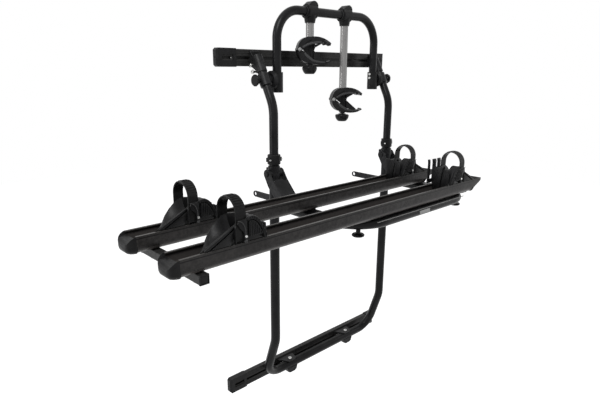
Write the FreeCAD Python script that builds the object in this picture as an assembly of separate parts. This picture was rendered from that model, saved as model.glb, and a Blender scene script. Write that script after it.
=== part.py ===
import FreeCAD, Part
import math
import os

# Van bike carrier for two bicycles, fixed to a rear door by two rails.
# Millimetres. X runs along the rails, Y points at the door, Z is up.
# The origin is the middle of the lower door rail, on the face that lies on the door.

V = FreeCAD.Vector
X_AXIS = V(1, 0, 0)
Y_AXIS = V(0, 1, 0)
Z_AXIS = V(0, 0, 1)
SIDES = (-1, 1)

# Fits and gaps
running_gap = 0.06
free_gap = 0.3
seam_turn = 37

# Door rails
rail_height = 54
rail_depth = 20
rail_wall = 2.5
rail_left = -434
rail_right = 364
cap_length = 16
cap_lip = 2
cap_sleeve = 58
short_cap_sleeve = 36
cap_bevel = 6
slot_mouth = 9
slot_width = 16
slot_floor = 10
slot_lip = 3
nut_gap = 0.5
groove_levels = (13, 20)
groove_half = 0.8
door_bolt_radius = 4.2
door_bolt_spread = 700
door_bolt_middle = -35
upper_rail_z = 1182
upper_rail_back = 10

# Lower frame tube
frame_half = 303
lower_tube_radius = 17
upper_tube_radius = 15
upright_y = -109
foot_y = -50
foot_bend = 70
knee_z = 178
knee_bend = 110
lower_tube_top = 845
pivot_z = lower_tube_top - 37

# Lower brackets
bracket_places = (123 - frame_half, frame_half - 153)
bracket_rail_width = 84
bracket_tube_width = 52
bracket_plate = 4
bracket_bolt_inset = 18
bracket_cut_back = 6
bracket_taper = 10
saddle_height = 13
bolt_radius = 4
bolt_head_radius = 7
bolt_head_height = 5.5

# Height collars and the upper tubes
collar_bottom = lower_tube_top - 6
collar_top = lower_tube_top + 27
collar_radius = 22
collar_ear = 4
collar_ear_deep = 9
collar_ear_high = 7
collar_screw_radius = 1.6
upper_tube_foot = lower_tube_top - 145
upper_tube_wall = 2.5
upper_bend_z = upper_rail_z - 155
upper_bend = 120
upper_lean = 27.5
upper_tube_end_z = upper_rail_z - 3
sleeve_wall = 3.2
sleeve_drop = 48
sleeve_rise = 9
hollow_drop = 90
hollow_rise = 32
pinch_bolt_drops = (13, 36)
rail_screw_spread = 8
rail_screw_radius = 3
rail_nut_half = 6
bracket_margin = 3
pinch_bolt_back = 21

# Hoop
hoop_half = frame_half - 54
hoop_y = -64
hoop_rise = 226
hoop_pivot_z = upper_rail_z - 71
hoop_top = hoop_pivot_z + hoop_rise
hoop_bottom = hoop_pivot_z - 37
hoop_bend = 95
hoop_tube_radius = 15
hoop_tube_wall = 2
hoop_clamp_height = 40
hoop_clamp_radius = 20
hoop_seat_x = frame_half - 31
hoop_boss_radius = 17
hoop_pad_radius = 11
leg_clamp_foot = 3
leg_clamp_head = 26
hoop_rivet_levels = (hoop_pivot_z + 4, hoop_pivot_z + 18)
hoop_rivet_seat = hoop_clamp_radius - 1.2
hoop_rivet_length = 9
seat_disc_radius = 31
seat_disc_thick = 9
seat_disc_edge = 3.6
seat_disc_bevel = 7
hoop_rivet_radius = 3
stud_radius = 4
stud_gap = 0.3

# Clamp knobs
knob_radius = 19
knob_height = 7
knob_stem_radius = 7
knob_stem = 15

# Bike arms
short_arm_x = -99
long_arm_x = 76
short_arm_drop = 124
long_arm_drop = 299
short_claw_z = hoop_top - short_arm_drop
long_claw_z = hoop_top - long_arm_drop
arm_tube_radius = 14
arm_tube_wall = 2
arm_clamp_length = 44
arm_clamp_radius = 24
arm_neck_radius = 17.5
arm_neck_z = hoop_top - 37
arm_tube_top = hoop_top - 20
liner_length = 50
liner_wall = 2.4

# Claw on an arm, in its own plane: u from the tube's axis, w from the rivet
claw_turn = -30
claw_thick = 36
claw_reach = 73
rivet_u = -39
rivet_radius = 4
rivet_boss = 9.5
rivet_tongue = 14
socket_floor = 28
spindle_radius = 4
spindle_top = 26
jaw_seat_radius = 10
jaw_seat = -54
washer_radius = 14
washer_thick = 3
claw_knob_radius = 26
claw_knob_height = 25
claw_knob_top = jaw_seat - washer_thick - 2 * free_gap
knob_bore = 17.5
spindle_foot = claw_knob_top - 12.4
guard_half = 1.8
slot_back = -14
slot_ahead = 22

# Platform
leg_half = frame_half
platform_front = -482
platform_z = pivot_z - 105
oval_width = 56
oval_height = 30
platform_wall = 2.2
platform_bend = 115
leg_bend_y = -196
leg_bend = 60
leg_rise = 46.6
leg_overrun = 150
fork_inside = oval_width / 2
fork_plate = 4
fork_eye = 16
fork_web_start = 38
fork_length = 98
hinge_collar_radius = 20.5
hinge_collar_height = 50
hinge_pin_radius = 6
hinge_pin_head = 4
clamp_ear_half = 9
clamp_ear_reach = 31
clamp_ear_high = 18
clamp_split_half = 1
clamp_screw_y = 25
clamp_screw_radius = 3
rail_clamp_plate = 4

# Bike rails
bike_rail_back_y = -282
bike_rail_z = platform_z + oval_height / 2 + rail_clamp_plate
bike_rail_width = 66
bike_rail_height = 46
bike_rail_corner = 22
bike_rail_wall = 2.6
bike_rail_lip = 6
bike_rail_start = -894
bike_rail_end = 296
nose_length = 39
tail_length = 52
tail_tip = 17
track_mouth = 8.6
track_width = 13.4
track_height = 4.6
track_skin = 2.2

# Cross bar under the left ends of the rails
cross_bar_x = -839
cross_bar_size = 24
cross_bar_wall = 2
cross_bar_front = -512
cross_bar_back = -245
cross_cap = 5

# Clamp knobs of the bike rails
rail_knob_x = frame_half - 32
rail_knob_y = -460
rail_clamp_length = 40

# Wheel holders: s along the rail from the strap, t across it, h above the lips
left_strap_x = -741
right_strap_x = 195
ramp_length = 95
cover_length = 75
cheek_inside = 24
cheek_outside = 34.2
cheek_height = 58
cradle_depth = 26
strap_width = 28
strap_thick = 3
strap_arch = 36
strap_top = 107
strap_tooth = 1.2
strap_tooth_count = 15
housing_outside = 47
housing_recess = 9
housing_left = -18
housing_right = 62
lever_left = 17
lever_pin_h = 19
lever_pin_radius = 3
lever_pin_depth = 3.5
lever_hub = 5
keeper_near = -18.5
keeper_thick = 5

# Door stays
stay_x = frame_half - 31
stay_z = platform_z + 3
stay_height = 22
stay_thick = 5
stay_eye_y = 35
stay_eye_radius = 7
stay_pivot_radius = 4
stay_band = 3.5
stay_nut_radius = 8
stay_nut_thick = 5


def box(x0, x1, y0, y1, z0, z1):
    return Part.makeBox(x1 - x0, y1 - y0, z1 - z0, V(x0, y0, z0))


def rod(start, direction, radius, length):
    """Cylinder whose seam line is turned away from the main axes."""
    solid = Part.makeCylinder(radius, length, start, direction)
    solid.rotate(start, direction, seam_turn)
    return solid


def outline(place, points):
    """Closed face through points. A point given as a pair of pairs is an arc's middle and end."""
    edges = []
    last = place(*points[0])
    for point in points[1:] + [points[0]]:
        if isinstance(point[0], tuple):
            middle = place(*point[0])
            end = place(*point[1])
            edges.append(Part.Arc(last, middle, end).toShape())
        else:
            end = place(*point)
            if end.distanceToPoint(last) < 1e-6:
                continue
            edges.append(Part.LineSegment(last, end).toShape())
        last = end
    return Part.Face(Part.Wire(edges))


def across_x(x):
    return lambda y, z: V(x, y, z)


def across_y(y):
    return lambda x, z: V(x, y, z)


def across_z(z):
    return lambda x, y: V(x, y, z)


def plate_x(points, x0, x1):
    return outline(across_x(x0), points).extrude(V(x1 - x0, 0, 0))


def plate_y(points, y0, y1):
    return outline(across_y(y0), points).extrude(V(0, y1 - y0, 0))


def plate_z(points, z0, z1):
    return outline(across_z(z0), points).extrude(V(0, 0, z1 - z0))


def joined(solids):
    """One solid from several that touch or overlap."""
    whole = solids[0]
    for solid in solids[1:]:
        whole = whole.fuse(solid)
    return whole.removeSplitter()


def group(solids):
    """Separate solids kept together in one node."""
    return Part.makeCompound(solids)


def mirrored(shape):
    return shape.mirror(V(0, 0, 0), X_AXIS)


def moved(shape, x, y, z):
    copy = shape.copy()
    copy.translate(V(x, y, z))
    return copy


def bent_path(points, radii):
    """Wire of straight runs joined by tangent arcs, one radius for each inner point."""
    edges = []
    last = points[0]
    for index, radius in enumerate(radii):
        corner = points[index + 1]
        back = (points[index] - corner).normalize()
        ahead = (points[index + 2] - corner).normalize()
        half_turn = (math.pi - back.getAngle(ahead)) / 2
        reach = radius * math.tan(half_turn)
        start = corner + back * reach
        end = corner + ahead * reach
        inward = (back + ahead).normalize()
        middle = corner + inward * (radius / math.cos(half_turn) - radius)
        edges.append(Part.LineSegment(last, start).toShape())
        edges.append(Part.Arc(start, middle, end).toShape())
        last = end
    edges.append(Part.LineSegment(last, points[-1]).toShape())
    return Part.Wire(edges)


def swept(path, section):
    return path.makePipeShell([section], True, False)


def round_tube(points, radii, radius, wall):
    path = bent_path(points, radii)
    direction = points[1] - points[0]
    outer = Part.Wire([Part.Circle(points[0], direction, radius).toShape()])
    inner = Part.Wire([Part.Circle(points[0], direction, radius - wall).toShape()])
    return swept(path, outer).cut(swept(path, inner))


def bolt(seat, direction, shank, radius=bolt_radius):
    """Round headed bolt: the head stands on the seat, the shank runs the other way."""
    head = rod(seat, direction, bolt_head_radius, bolt_head_height)
    head = head.makeChamfer(1, [head.Edges[0]])
    socket = rod(seat + direction * (bolt_head_height - 2.5), direction, 3, 3)
    return head.cut(socket).fuse(rod(seat - direction * shank, direction, radius, shank))


# Door rails

def rail_section():
    """Door rail profile in Y and Z about its own middle: hollow, one slot along the front."""
    half = rail_height / 2
    front = -rail_depth
    outer = plate_x([(front, -half), (0, -half), (0, half), (front, half)], rail_left, rail_right)
    outer = outer.makeFillet(2, [e for e in outer.Edges if e.Vertexes[0].Point.x != e.Vertexes[1].Point.x])
    mouth = box(rail_left, rail_right, front, front + slot_lip, -slot_mouth / 2, slot_mouth / 2)
    wide = box(rail_left, rail_right, front + slot_lip, front + slot_floor, -slot_width / 2, slot_width / 2)
    chamber_low = slot_width / 2 + rail_wall
    chamber_high = half - rail_wall
    chambers = []
    for side in SIDES:
        low = min(side * chamber_low, side * chamber_high)
        high = max(side * chamber_low, side * chamber_high)
        chambers.append(box(rail_left, rail_right, front + rail_wall, -rail_wall, low, high))
    rail = outer.cut(mouth.fuse(wide)).cut(group(chambers))
    for side in SIDES:
        for level in groove_levels:
            middle = side * level
            rail = rail.cut(box(rail_left, rail_right, front, front + groove_half,
                                middle - groove_half, middle + groove_half))
    return rail


def door_rail():
    rail = rail_section()
    for side in SIDES:
        x = door_bolt_middle + side * door_bolt_spread / 2
        rail = rail.cut(rod(V(x, -slot_floor - 1, 0), Y_AXIS, door_bolt_radius, slot_floor + 2))
    return rail


def rail_cap(end, way, sleeve):
    """Plastic end cap with bevelled corners whose sleeve runs back over the rail's front and edges."""
    half = rail_height / 2 + cap_lip
    front = -rail_depth - cap_lip
    tip = end + way * cap_length
    slope = end + way * (cap_length - cap_bevel)
    back = end - way * sleeve
    plan = plate_z([(back, 0), (tip, 0), (tip, front + cap_bevel), (slope, front), (back, front)], -half, half)
    low, high = -half + cap_bevel, half - cap_bevel
    face = plate_y([(back, half), (slope, half), (tip, high), (tip, low), (slope, -half), (back, -half)], front, 0)
    cap = plan.common(face)
    room = rail_height / 2 + running_gap
    cap = cap.cut(box(min(back, end), max(back, end), -rail_depth - running_gap, 1, -room, room))
    window = sorted((back + way * 12, end - way * 4))
    cap = cap.cut(box(window[0], window[1], front - 1, -rail_depth, -slot_mouth, slot_mouth))
    return cap.cut(rod(V(end - 1, -slot_floor - 1, 0), X_AXIS * way, 2.5, cap_length + 2))


def rail_caps():
    """The right sleeve is short, which leaves the rail's face to the bracket beside it."""
    return group([rail_cap(rail_left, -1, cap_sleeve), rail_cap(rail_right, 1, short_cap_sleeve)])


def at_upper_rail(shape):
    return moved(shape, 0, upper_rail_back, upper_rail_z)


# Lower frame

def lower_frame_tube():
    """One tube bent to a U, leaning forward from its foot and then upright."""
    points = [V(-frame_half, upright_y, lower_tube_top), V(-frame_half, upright_y, knee_z),
              V(-frame_half, foot_y, 0), V(frame_half, foot_y, 0),
              V(frame_half, upright_y, knee_z), V(frame_half, upright_y, lower_tube_top)]
    radii = [knee_bend, foot_bend, foot_bend, knee_bend]
    bore = upper_tube_radius + running_gap
    tube = round_tube(points, radii, lower_tube_radius, lower_tube_radius - bore)
    for x in bracket_places:
        hole = rod(V(x, foot_y, -lower_tube_radius - 1), Z_AXIS, bolt_radius, 2 * lower_tube_radius + 2)
        tube = tube.cut(hole)
    return tube


def lower_bracket(x):
    """Angle that is bolted to the rail's slot and lies over the tube."""
    rail_face = -rail_depth
    top = lower_tube_radius + bracket_plate
    wide = bracket_rail_width / 2
    narrow = bracket_tube_width / 2
    tip = foot_y - lower_tube_radius + 3
    far = x + wide - bracket_cut_back
    plan = [(x - wide, rail_face), (far, rail_face), (x + narrow, tip + 8),
            (x + narrow - bracket_taper, tip), (x - narrow + bracket_taper, tip)]
    plate = plate_z(plan, lower_tube_radius, top)
    flange = box(x - wide, far, rail_face - bracket_plate, rail_face, -slot_width, top)
    bracket = joined([plate, flange])
    bracket = bracket.cut(rod(V(x, foot_y, 0), Z_AXIS, bolt_radius, top + 1))
    for side in SIDES:
        at = x + side * (wide - bracket_bolt_inset)
        bracket = bracket.cut(rod(V(at, rail_face + 1, 0), -Y_AXIS, bolt_radius, bracket_plate + 2))
    return bracket


def lower_saddle(x):
    """Block under the tube, hollowed to its round, that the long bolt pulls up."""
    narrow = bracket_tube_width / 2
    under = -lower_tube_radius
    half = lower_tube_radius
    points = [(x - narrow, under + 9), (x - narrow + 5, under - 8), (x - narrow + 14, under - saddle_height),
              (x + narrow - 14, under - saddle_height), (x + narrow - 5, under - 8), (x + narrow, under + 9)]
    block = plate_y(points, foot_y - half, foot_y + half)
    block = block.cut(rod(V(x - narrow - 1, foot_y, 0), X_AXIS, lower_tube_radius, bracket_tube_width + 2))
    return block.cut(rod(V(x, foot_y, 0), -Z_AXIS, bolt_radius, lower_tube_radius + saddle_height + 1))


def lower_brackets():
    plates = [lower_bracket(x) for x in bracket_places]
    saddles = [lower_saddle(x) for x in bracket_places]
    return group(plates + saddles)


def slot_bolt(x, y, z):
    """Bolt through a plate into a nut that fills the rail's slot. y is the rail's front face."""
    screw = bolt(V(x, y - bracket_plate, z), -Y_AXIS, bracket_plate + slot_floor - 1)
    half = slot_width / 2
    nut = box(x - half, x + half, y + slot_lip, y + slot_floor - 1, z - half + nut_gap, z + half - nut_gap)
    return joined([screw, nut])


def lower_frame_bolts():
    bolts = []
    for x in bracket_places:
        seat = V(x, foot_y, lower_tube_radius + bracket_plate)
        bolts.append(bolt(seat, Z_AXIS, 2 * lower_tube_radius + bracket_plate + saddle_height))
        for side in SIDES:
            bolts.append(slot_bolt(x + side * (bracket_rail_width / 2 - bracket_bolt_inset), -rail_depth, 0))
    for side in SIDES:
        for ear in SIDES:
            bolts.append(collar_screw(side, ear))
        bolts.append(hinge_collar_screw(side))
    return group(bolts)


# Height collars

def collar_ear_x(side, ear):
    return side * frame_half + ear * (collar_radius + 1)


def height_collar(side):
    x = side * frame_half
    middle = (collar_bottom + collar_top) / 2
    ring = rod(V(x, upright_y, collar_bottom), Z_AXIS, collar_radius, collar_top - collar_bottom)
    ring = ring.makeChamfer(1.5, [e for e in ring.Edges if len(e.Vertexes) == 1])
    ears = [box(collar_ear_x(side, ear) - collar_ear, collar_ear_x(side, ear) + collar_ear,
                upright_y - collar_ear_deep, upright_y + collar_ear_deep,
                middle - collar_ear_high, middle + collar_ear_high) for ear in SIDES]
    collar = joined([ring] + ears)
    seat = rod(V(x, upright_y, collar_bottom - 1), Z_AXIS, lower_tube_radius, lower_tube_top - collar_bottom + 1)
    throat = rod(V(x, upright_y, collar_bottom), Z_AXIS, upper_tube_radius + free_gap, collar_top)
    collar = collar.cut(seat.fuse(throat))
    for ear in SIDES:
        start = V(collar_screw_x(side, ear), upright_y - collar_ear_deep - 1, middle)
        collar = collar.cut(rod(start, Y_AXIS, collar_screw_radius, 2 * collar_ear_deep + 2))
    return collar


def height_collars():
    return group([height_collar(side) for side in SIDES])


def collar_screw_x(side, ear):
    return side * frame_half + ear * (collar_radius + 2.2)


def collar_screw(side, ear):
    middle = (collar_bottom + collar_top) / 2
    seat = V(collar_screw_x(side, ear), upright_y - collar_ear_deep, middle)
    head = rod(seat, -Y_AXIS, collar_screw_radius + 1.3, 3)
    return joined([head, rod(seat, Y_AXIS, collar_screw_radius, 2 * collar_ear_deep)])


# Platform hinges

def hinge_collar(side):
    """Clamp ring on the upright with a flat boss each side for the hinge pins."""
    x = side * frame_half
    low = pivot_z - hinge_collar_height / 2
    ring = rod(V(x, upright_y, low), Z_AXIS, hinge_collar_radius, hinge_collar_height)
    boss_reach = fork_inside - free_gap
    bosses = rod(V(x - boss_reach, upright_y, pivot_z), X_AXIS, fork_eye - 2, 2 * boss_reach)
    ear = box(x - clamp_ear_half, x + clamp_ear_half, upright_y + hinge_collar_radius / 2,
              upright_y + clamp_ear_reach, pivot_z - clamp_ear_high, pivot_z + clamp_ear_high)
    ear = ear.makeFillet(4, [e for e in ear.Edges if abs(e.Vertexes[0].Point.x - e.Vertexes[1].Point.x) > 1])
    collar = joined([ring, bosses, ear])
    bore = rod(V(x, upright_y, low - 1), Z_AXIS, lower_tube_radius, hinge_collar_height + 2)
    split = box(x - clamp_split_half, x + clamp_split_half, upright_y, upright_y + clamp_ear_reach,
                low - 1, low + hinge_collar_height + 1)
    pins = rod(V(x - boss_reach - 1, upright_y, pivot_z), X_AXIS, hinge_pin_radius, 2 * boss_reach + 2)
    screw = rod(V(x - clamp_ear_half - 1, upright_y + clamp_screw_y, pivot_z), X_AXIS,
                clamp_screw_radius, 2 * clamp_ear_half + 2)
    return collar.cut(bore).cut(split).cut(pins).cut(screw)


def hinge_collars():
    return group([hinge_collar(side) for side in SIDES])


def hinge_collar_screw(side):
    seat = V(side * (frame_half + clamp_ear_half), upright_y + clamp_screw_y, pivot_z)
    head = rod(seat, X_AXIS * side, clamp_screw_radius + 2, 3.5)
    return joined([head, rod(seat, -X_AXIS * side, clamp_screw_radius, 2 * clamp_ear_half)])


def hinge_pin(side, way):
    """Shouldered pin from the collar's boss out through the fork's cheek."""
    x = side * frame_half
    reach = lower_tube_radius + nut_gap
    inner = x + way * reach
    length = fork_inside + fork_plate + free_gap - reach
    shank = rod(V(inner, upright_y, pivot_z), X_AXIS * way, hinge_pin_radius, length)
    head = rod(V(inner + way * length, upright_y, pivot_z), X_AXIS * way, hinge_pin_radius + 3, hinge_pin_head)
    head = head.makeChamfer(1, [head.Edges[0]])
    return joined([shank, head])


def hinge_pins():
    return group([hinge_pin(side, way) for side in SIDES for way in SIDES])


# Door stays

def stay_clip(side):
    """Band round the upright with a stud on its inner side."""
    x = side * frame_half
    half = stay_height / 2
    ring = rod(V(x, upright_y, stay_z - half), Z_AXIS, lower_tube_radius + stay_band, stay_height)
    face = stay_x + stay_thick / 2 + free_gap
    boss_length = frame_half - face
    boss = rod(V(x, upright_y, stay_z), -X_AXIS * side, half - 1, boss_length)
    stud = rod(V(x, upright_y, stay_z), -X_AXIS * side, stay_pivot_radius,
               boss_length + stay_thick + 2 * free_gap)
    nut_start = V(side * (stay_x - stay_thick / 2 - free_gap), upright_y, stay_z)
    nut = rod(nut_start, -X_AXIS * side, stay_nut_radius, stay_nut_thick)
    clip = joined([ring, boss, stud, nut])
    return clip.cut(rod(V(x, upright_y, stay_z - half - 1), Z_AXIS, lower_tube_radius, stay_height + 2))


def stay_clips():
    return group([stay_clip(side) for side in SIDES])


def door_stay(side):
    """Flat bar with round ends: a pivot hole at the upright and an eye at the door."""
    half = stay_height / 2
    low = stay_z - half
    high = stay_z + half
    points = [(upright_y, low), (stay_eye_y, low), ((stay_eye_y + half, stay_z), (stay_eye_y, high)),
              (upright_y, high), ((upright_y - half, stay_z), (upright_y, low))]
    x0 = side * stay_x - stay_thick / 2
    bar = plate_x(points, x0, x0 + stay_thick)
    bar = bar.cut(rod(V(x0 - 1, upright_y, stay_z), X_AXIS, stay_pivot_radius + running_gap, stay_thick + 2))
    return bar.cut(rod(V(x0 - 1, stay_eye_y, stay_z), X_AXIS, stay_eye_radius, stay_thick + 2))


# Upper frame

def lean_direction():
    lean = math.radians(upper_lean)
    return V(0, math.sin(lean), math.cos(lean))


def upper_tube_point(z):
    """Point on the leaning part's centre line at height z."""
    return V(0, upright_y + (z - upper_bend_z) * math.tan(math.radians(upper_lean)), z)


def upper_tube(side):
    """Tube that slides in the lower one and leans to the door above its bend."""
    shift = V(side * frame_half, 0, 0)
    points = [V(0, upright_y, upper_tube_foot) + shift, V(0, upright_y, upper_bend_z) + shift,
              upper_tube_point(upper_tube_end_z) + shift]
    tube = round_tube(points, [upper_bend], upper_tube_radius, upper_tube_wall)
    reach = 2 * upper_tube_radius + 4
    stud_at = V(side * frame_half - reach / 2, hoop_y, hoop_pivot_z)
    return tube.cut(rod(stud_at, X_AXIS, stud_radius + stud_gap, reach))


def upper_tubes():
    return group([upper_tube(side) for side in SIDES])


def pinch_bolt_point(distance):
    """Centre of a bolt that closes the sleeve behind the tube, in its middle plane."""
    up = lean_direction()
    return upper_tube_point(upper_tube_end_z) - up * distance + V(0, up.z, -up.y) * pinch_bolt_back


def top_bracket(side):
    """Sleeve round the tube's end whose two cheeks run back to a plate on the rail."""
    rail_front = upper_rail_back - rail_depth
    inside = upper_tube_radius
    half = inside + sleeve_wall
    x = side * frame_half
    end = upper_tube_point(upper_tube_end_z)
    up = lean_direction()
    foot = end - up * sleeve_drop
    head = end + up * sleeve_rise
    length = sleeve_drop + sleeve_rise
    top = upper_rail_z + rail_height / 2 - bracket_margin
    low = upper_rail_z - rail_height / 2 + bracket_margin
    cheek = [(foot.y, foot.z), (head.y, head.z), (rail_front, top), (rail_front, low)]
    shell = rod(V(x, foot.y, foot.z), up, half, length).fuse(plate_x(cheek, x - half, x + half))
    keep = box(x - half, x + half, upright_y, rail_front, low - rail_height, top)
    hollow_foot = end - up * hollow_drop
    hollow_head = end + up * hollow_rise
    hollow = [(hollow_foot.y, hollow_foot.z), (hollow_head.y, hollow_head.z),
              (rail_front - sleeve_wall, hollow_head.z), (rail_front - sleeve_wall, low - rail_height)]
    bracket = shell.common(keep).cut(plate_x(hollow, x - inside, x + inside))
    bracket = bracket.cut(rod(V(x, foot.y, foot.z) - up, up, inside, length + 2))
    for distance in pinch_bolt_drops:
        at = pinch_bolt_point(distance)
        bracket = bracket.cut(rod(V(x - half - 1, at.y, at.z), X_AXIS, bolt_radius, 2 * half + 2))
    for way in SIDES:
        start = V(x + way * rail_screw_spread, rail_front + 1, upper_rail_z)
        hole = rod(start, -Y_AXIS, rail_screw_radius, sleeve_wall + 2)
        bracket = bracket.cut(hole)
    return bracket


def top_brackets():
    return group([top_bracket(side) for side in SIDES])


def top_bracket_bolts():
    half = upper_tube_radius + sleeve_wall
    rail_front = upper_rail_back - rail_depth
    plate_front = rail_front - sleeve_wall
    bolts = []
    for side in SIDES:
        for distance in pinch_bolt_drops:
            at = pinch_bolt_point(distance)
            seat = V(side * (frame_half + half), at.y, at.z)
            bolts.append(bolt(seat, X_AXIS * side, 2 * half))
        for way in SIDES:
            x = side * frame_half + way * rail_screw_spread
            seat = V(x, plate_front, upper_rail_z)
            head = rod(seat, -Y_AXIS, rail_screw_radius + 1, rail_screw_radius - 1)
            shank = rod(seat, Y_AXIS, rail_screw_radius, sleeve_wall + slot_floor - 1)
            nut = box(x - rail_nut_half, x + rail_nut_half, rail_front + slot_lip, rail_front + slot_floor - 1,
                      upper_rail_z - slot_width / 2 + nut_gap, upper_rail_z + slot_width / 2 - nut_gap)
            bolts.append(joined([head, shank, nut]))
    return group(bolts)


def hoop_bracket(side):
    """Clamp on the leaning tube with a flat seat towards the hoop."""
    x = side * frame_half
    up = lean_direction()
    middle = V(x, hoop_y, hoop_pivot_z)
    axis_point = upper_tube_point(hoop_pivot_z) + V(x, 0, 0)
    half = hoop_clamp_height / 2
    ring = rod(axis_point - up * half, up, hoop_clamp_radius, hoop_clamp_height)
    boss_length = frame_half - hoop_seat_x
    boss = rod(middle, -X_AXIS * side, hoop_boss_radius, boss_length)
    disc = seat_disc(V(side * hoop_seat_x, hoop_y, hoop_pivot_z), X_AXIS * side)
    pad = rod(middle, X_AXIS * side, hoop_pad_radius, hoop_clamp_radius)
    bracket = joined([ring, boss, disc, pad])
    bracket = bracket.cut(rod(axis_point - up * (half + 1), up, upper_tube_radius, hoop_clamp_height + 2))
    start = V(x - (hoop_clamp_radius + boss_length), hoop_y, hoop_pivot_z)
    return bracket.cut(rod(start, X_AXIS, stud_radius + stud_gap, 2 * (hoop_clamp_radius + boss_length)))


def seat_disc(start, direction):
    """Round plate with a bevelled rim: two of them turn face to face at the hoop's pivot."""
    disc = rod(start, direction, seat_disc_radius, seat_disc_edge)
    slope = Part.makeCone(seat_disc_radius, seat_disc_radius - seat_disc_bevel,
                          seat_disc_thick - seat_disc_edge, start + direction * seat_disc_edge, direction)
    return disc.fuse(slope)


def hoop_brackets():
    return group([hoop_bracket(side) for side in SIDES])


# Hoop

def hoop_tube():
    points = [V(-hoop_half, hoop_y, hoop_bottom), V(-hoop_half, hoop_y, hoop_top),
              V(hoop_half, hoop_y, hoop_top), V(hoop_half, hoop_y, hoop_bottom)]
    tube = round_tube(points, [hoop_bend, hoop_bend], hoop_tube_radius, hoop_tube_wall)
    for side in SIDES:
        for z in hoop_rivet_levels:
            tube = tube.cut(rod(V(side * hoop_half, hoop_y, z), -X_AXIS * side, hoop_rivet_radius, 20))
    return tube


def hoop_leg_clamp(side):
    """Sleeve and plug on the hoop's leg, with a flat seat that turns on the bracket's."""
    x = side * hoop_half
    low = hoop_bottom - leg_clamp_foot
    high = hoop_pivot_z + leg_clamp_head
    sleeve = rod(V(x, hoop_y, low), Z_AXIS, hoop_clamp_radius, high - low)
    seat = hoop_seat_x - free_gap
    boss = rod(V(x, hoop_y, hoop_pivot_z), X_AXIS * side, hoop_boss_radius, seat - hoop_half)
    disc = seat_disc(V(side * seat, hoop_y, hoop_pivot_z), -X_AXIS * side)
    clamp = joined([sleeve, boss, disc])
    clamp = clamp.cut(rod(V(x, hoop_y, hoop_bottom), Z_AXIS, hoop_tube_radius, high - hoop_bottom + 1))
    hole_start = V(side * (hoop_half + hoop_tube_radius), hoop_y, hoop_pivot_z)
    clamp = clamp.cut(rod(hole_start, X_AXIS * side, stud_radius + stud_gap, 20))
    for z in hoop_rivet_levels:
        clamp = clamp.cut(rod(V(x, hoop_y, z), -X_AXIS * side, hoop_rivet_radius, 25))
        flat = V(side * (hoop_half - hoop_rivet_seat), hoop_y, z)
        clamp = clamp.cut(rod(flat, -X_AXIS * side, 2 * hoop_rivet_radius, 5))
    return clamp


def hoop_leg_clamps():
    return group([hoop_leg_clamp(side) for side in SIDES])


def hoop_rivets():
    """Blind rivets through the sleeve and the leg, their heads on the inner side."""
    rivets = []
    for side in SIDES:
        for z in hoop_rivet_levels:
            seat = V(side * (hoop_half - hoop_rivet_seat), hoop_y, z)
            shank = rod(seat, X_AXIS * side, hoop_rivet_radius, hoop_rivet_length)
            head = Part.makeCone(5.4, 3.4, 2.6, seat, -X_AXIS * side)
            rivets.append(joined([shank, head]))
    return group(rivets)


# Knobs

def turned_knob(stud_length):
    """Mushroom knob on +Z with its stud on -Z, the stem's foot at the origin."""
    r = knob_radius
    top = knob_stem + knob_height
    neck = knob_stem_radius
    profile = [(0, -stud_length), (stud_radius, -stud_length), (stud_radius, 0), (neck, 0),
               (neck, knob_stem - 7), ((neck + 1.5, knob_stem - 2), (neck + 5, knob_stem)),
               (r - 3, knob_stem - 1), (r, knob_stem + 1), (r, top - 3),
               ((r - 1, top - 1), (r - 4, top)), (0, top)]
    body = outline(across_y(0), profile).revolve(V(0, 0, 0), Z_AXIS, 360)
    for index in range(6):
        angle = 2 * math.pi * (index + 0.5) / 6
        centre = r + 3
        scallop = rod(V(centre * math.cos(angle), centre * math.sin(angle), knob_stem - 2), Z_AXIS,
                      5, knob_height + 3)
        body = body.cut(scallop)
    return body


def hoop_knob(side):
    stand = hoop_clamp_radius + free_gap
    stud_length = stand + frame_half - hoop_half - hoop_tube_radius - 2
    knob = turned_knob(stud_length)
    knob.rotate(V(0, 0, 0), Y_AXIS, 90 * side)
    return moved(knob, side * (frame_half + stand), hoop_y, hoop_pivot_z)


def rail_knob(side):
    stud_length = oval_height + rail_clamp_plate - free_gap
    knob = turned_knob(stud_length)
    knob.rotate(V(0, 0, 0), X_AXIS, 180)
    return moved(knob, side * rail_knob_x, rail_knob_y, platform_z - oval_height / 2 - free_gap)


# Bike arms

def arm_liner(x):
    start = V(x - liner_length / 2, hoop_y, hoop_top)
    sleeve = rod(start, X_AXIS, hoop_tube_radius + running_gap + liner_wall, liner_length)
    return sleeve.cut(rod(start, X_AXIS, hoop_tube_radius + running_gap, liner_length))


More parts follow.
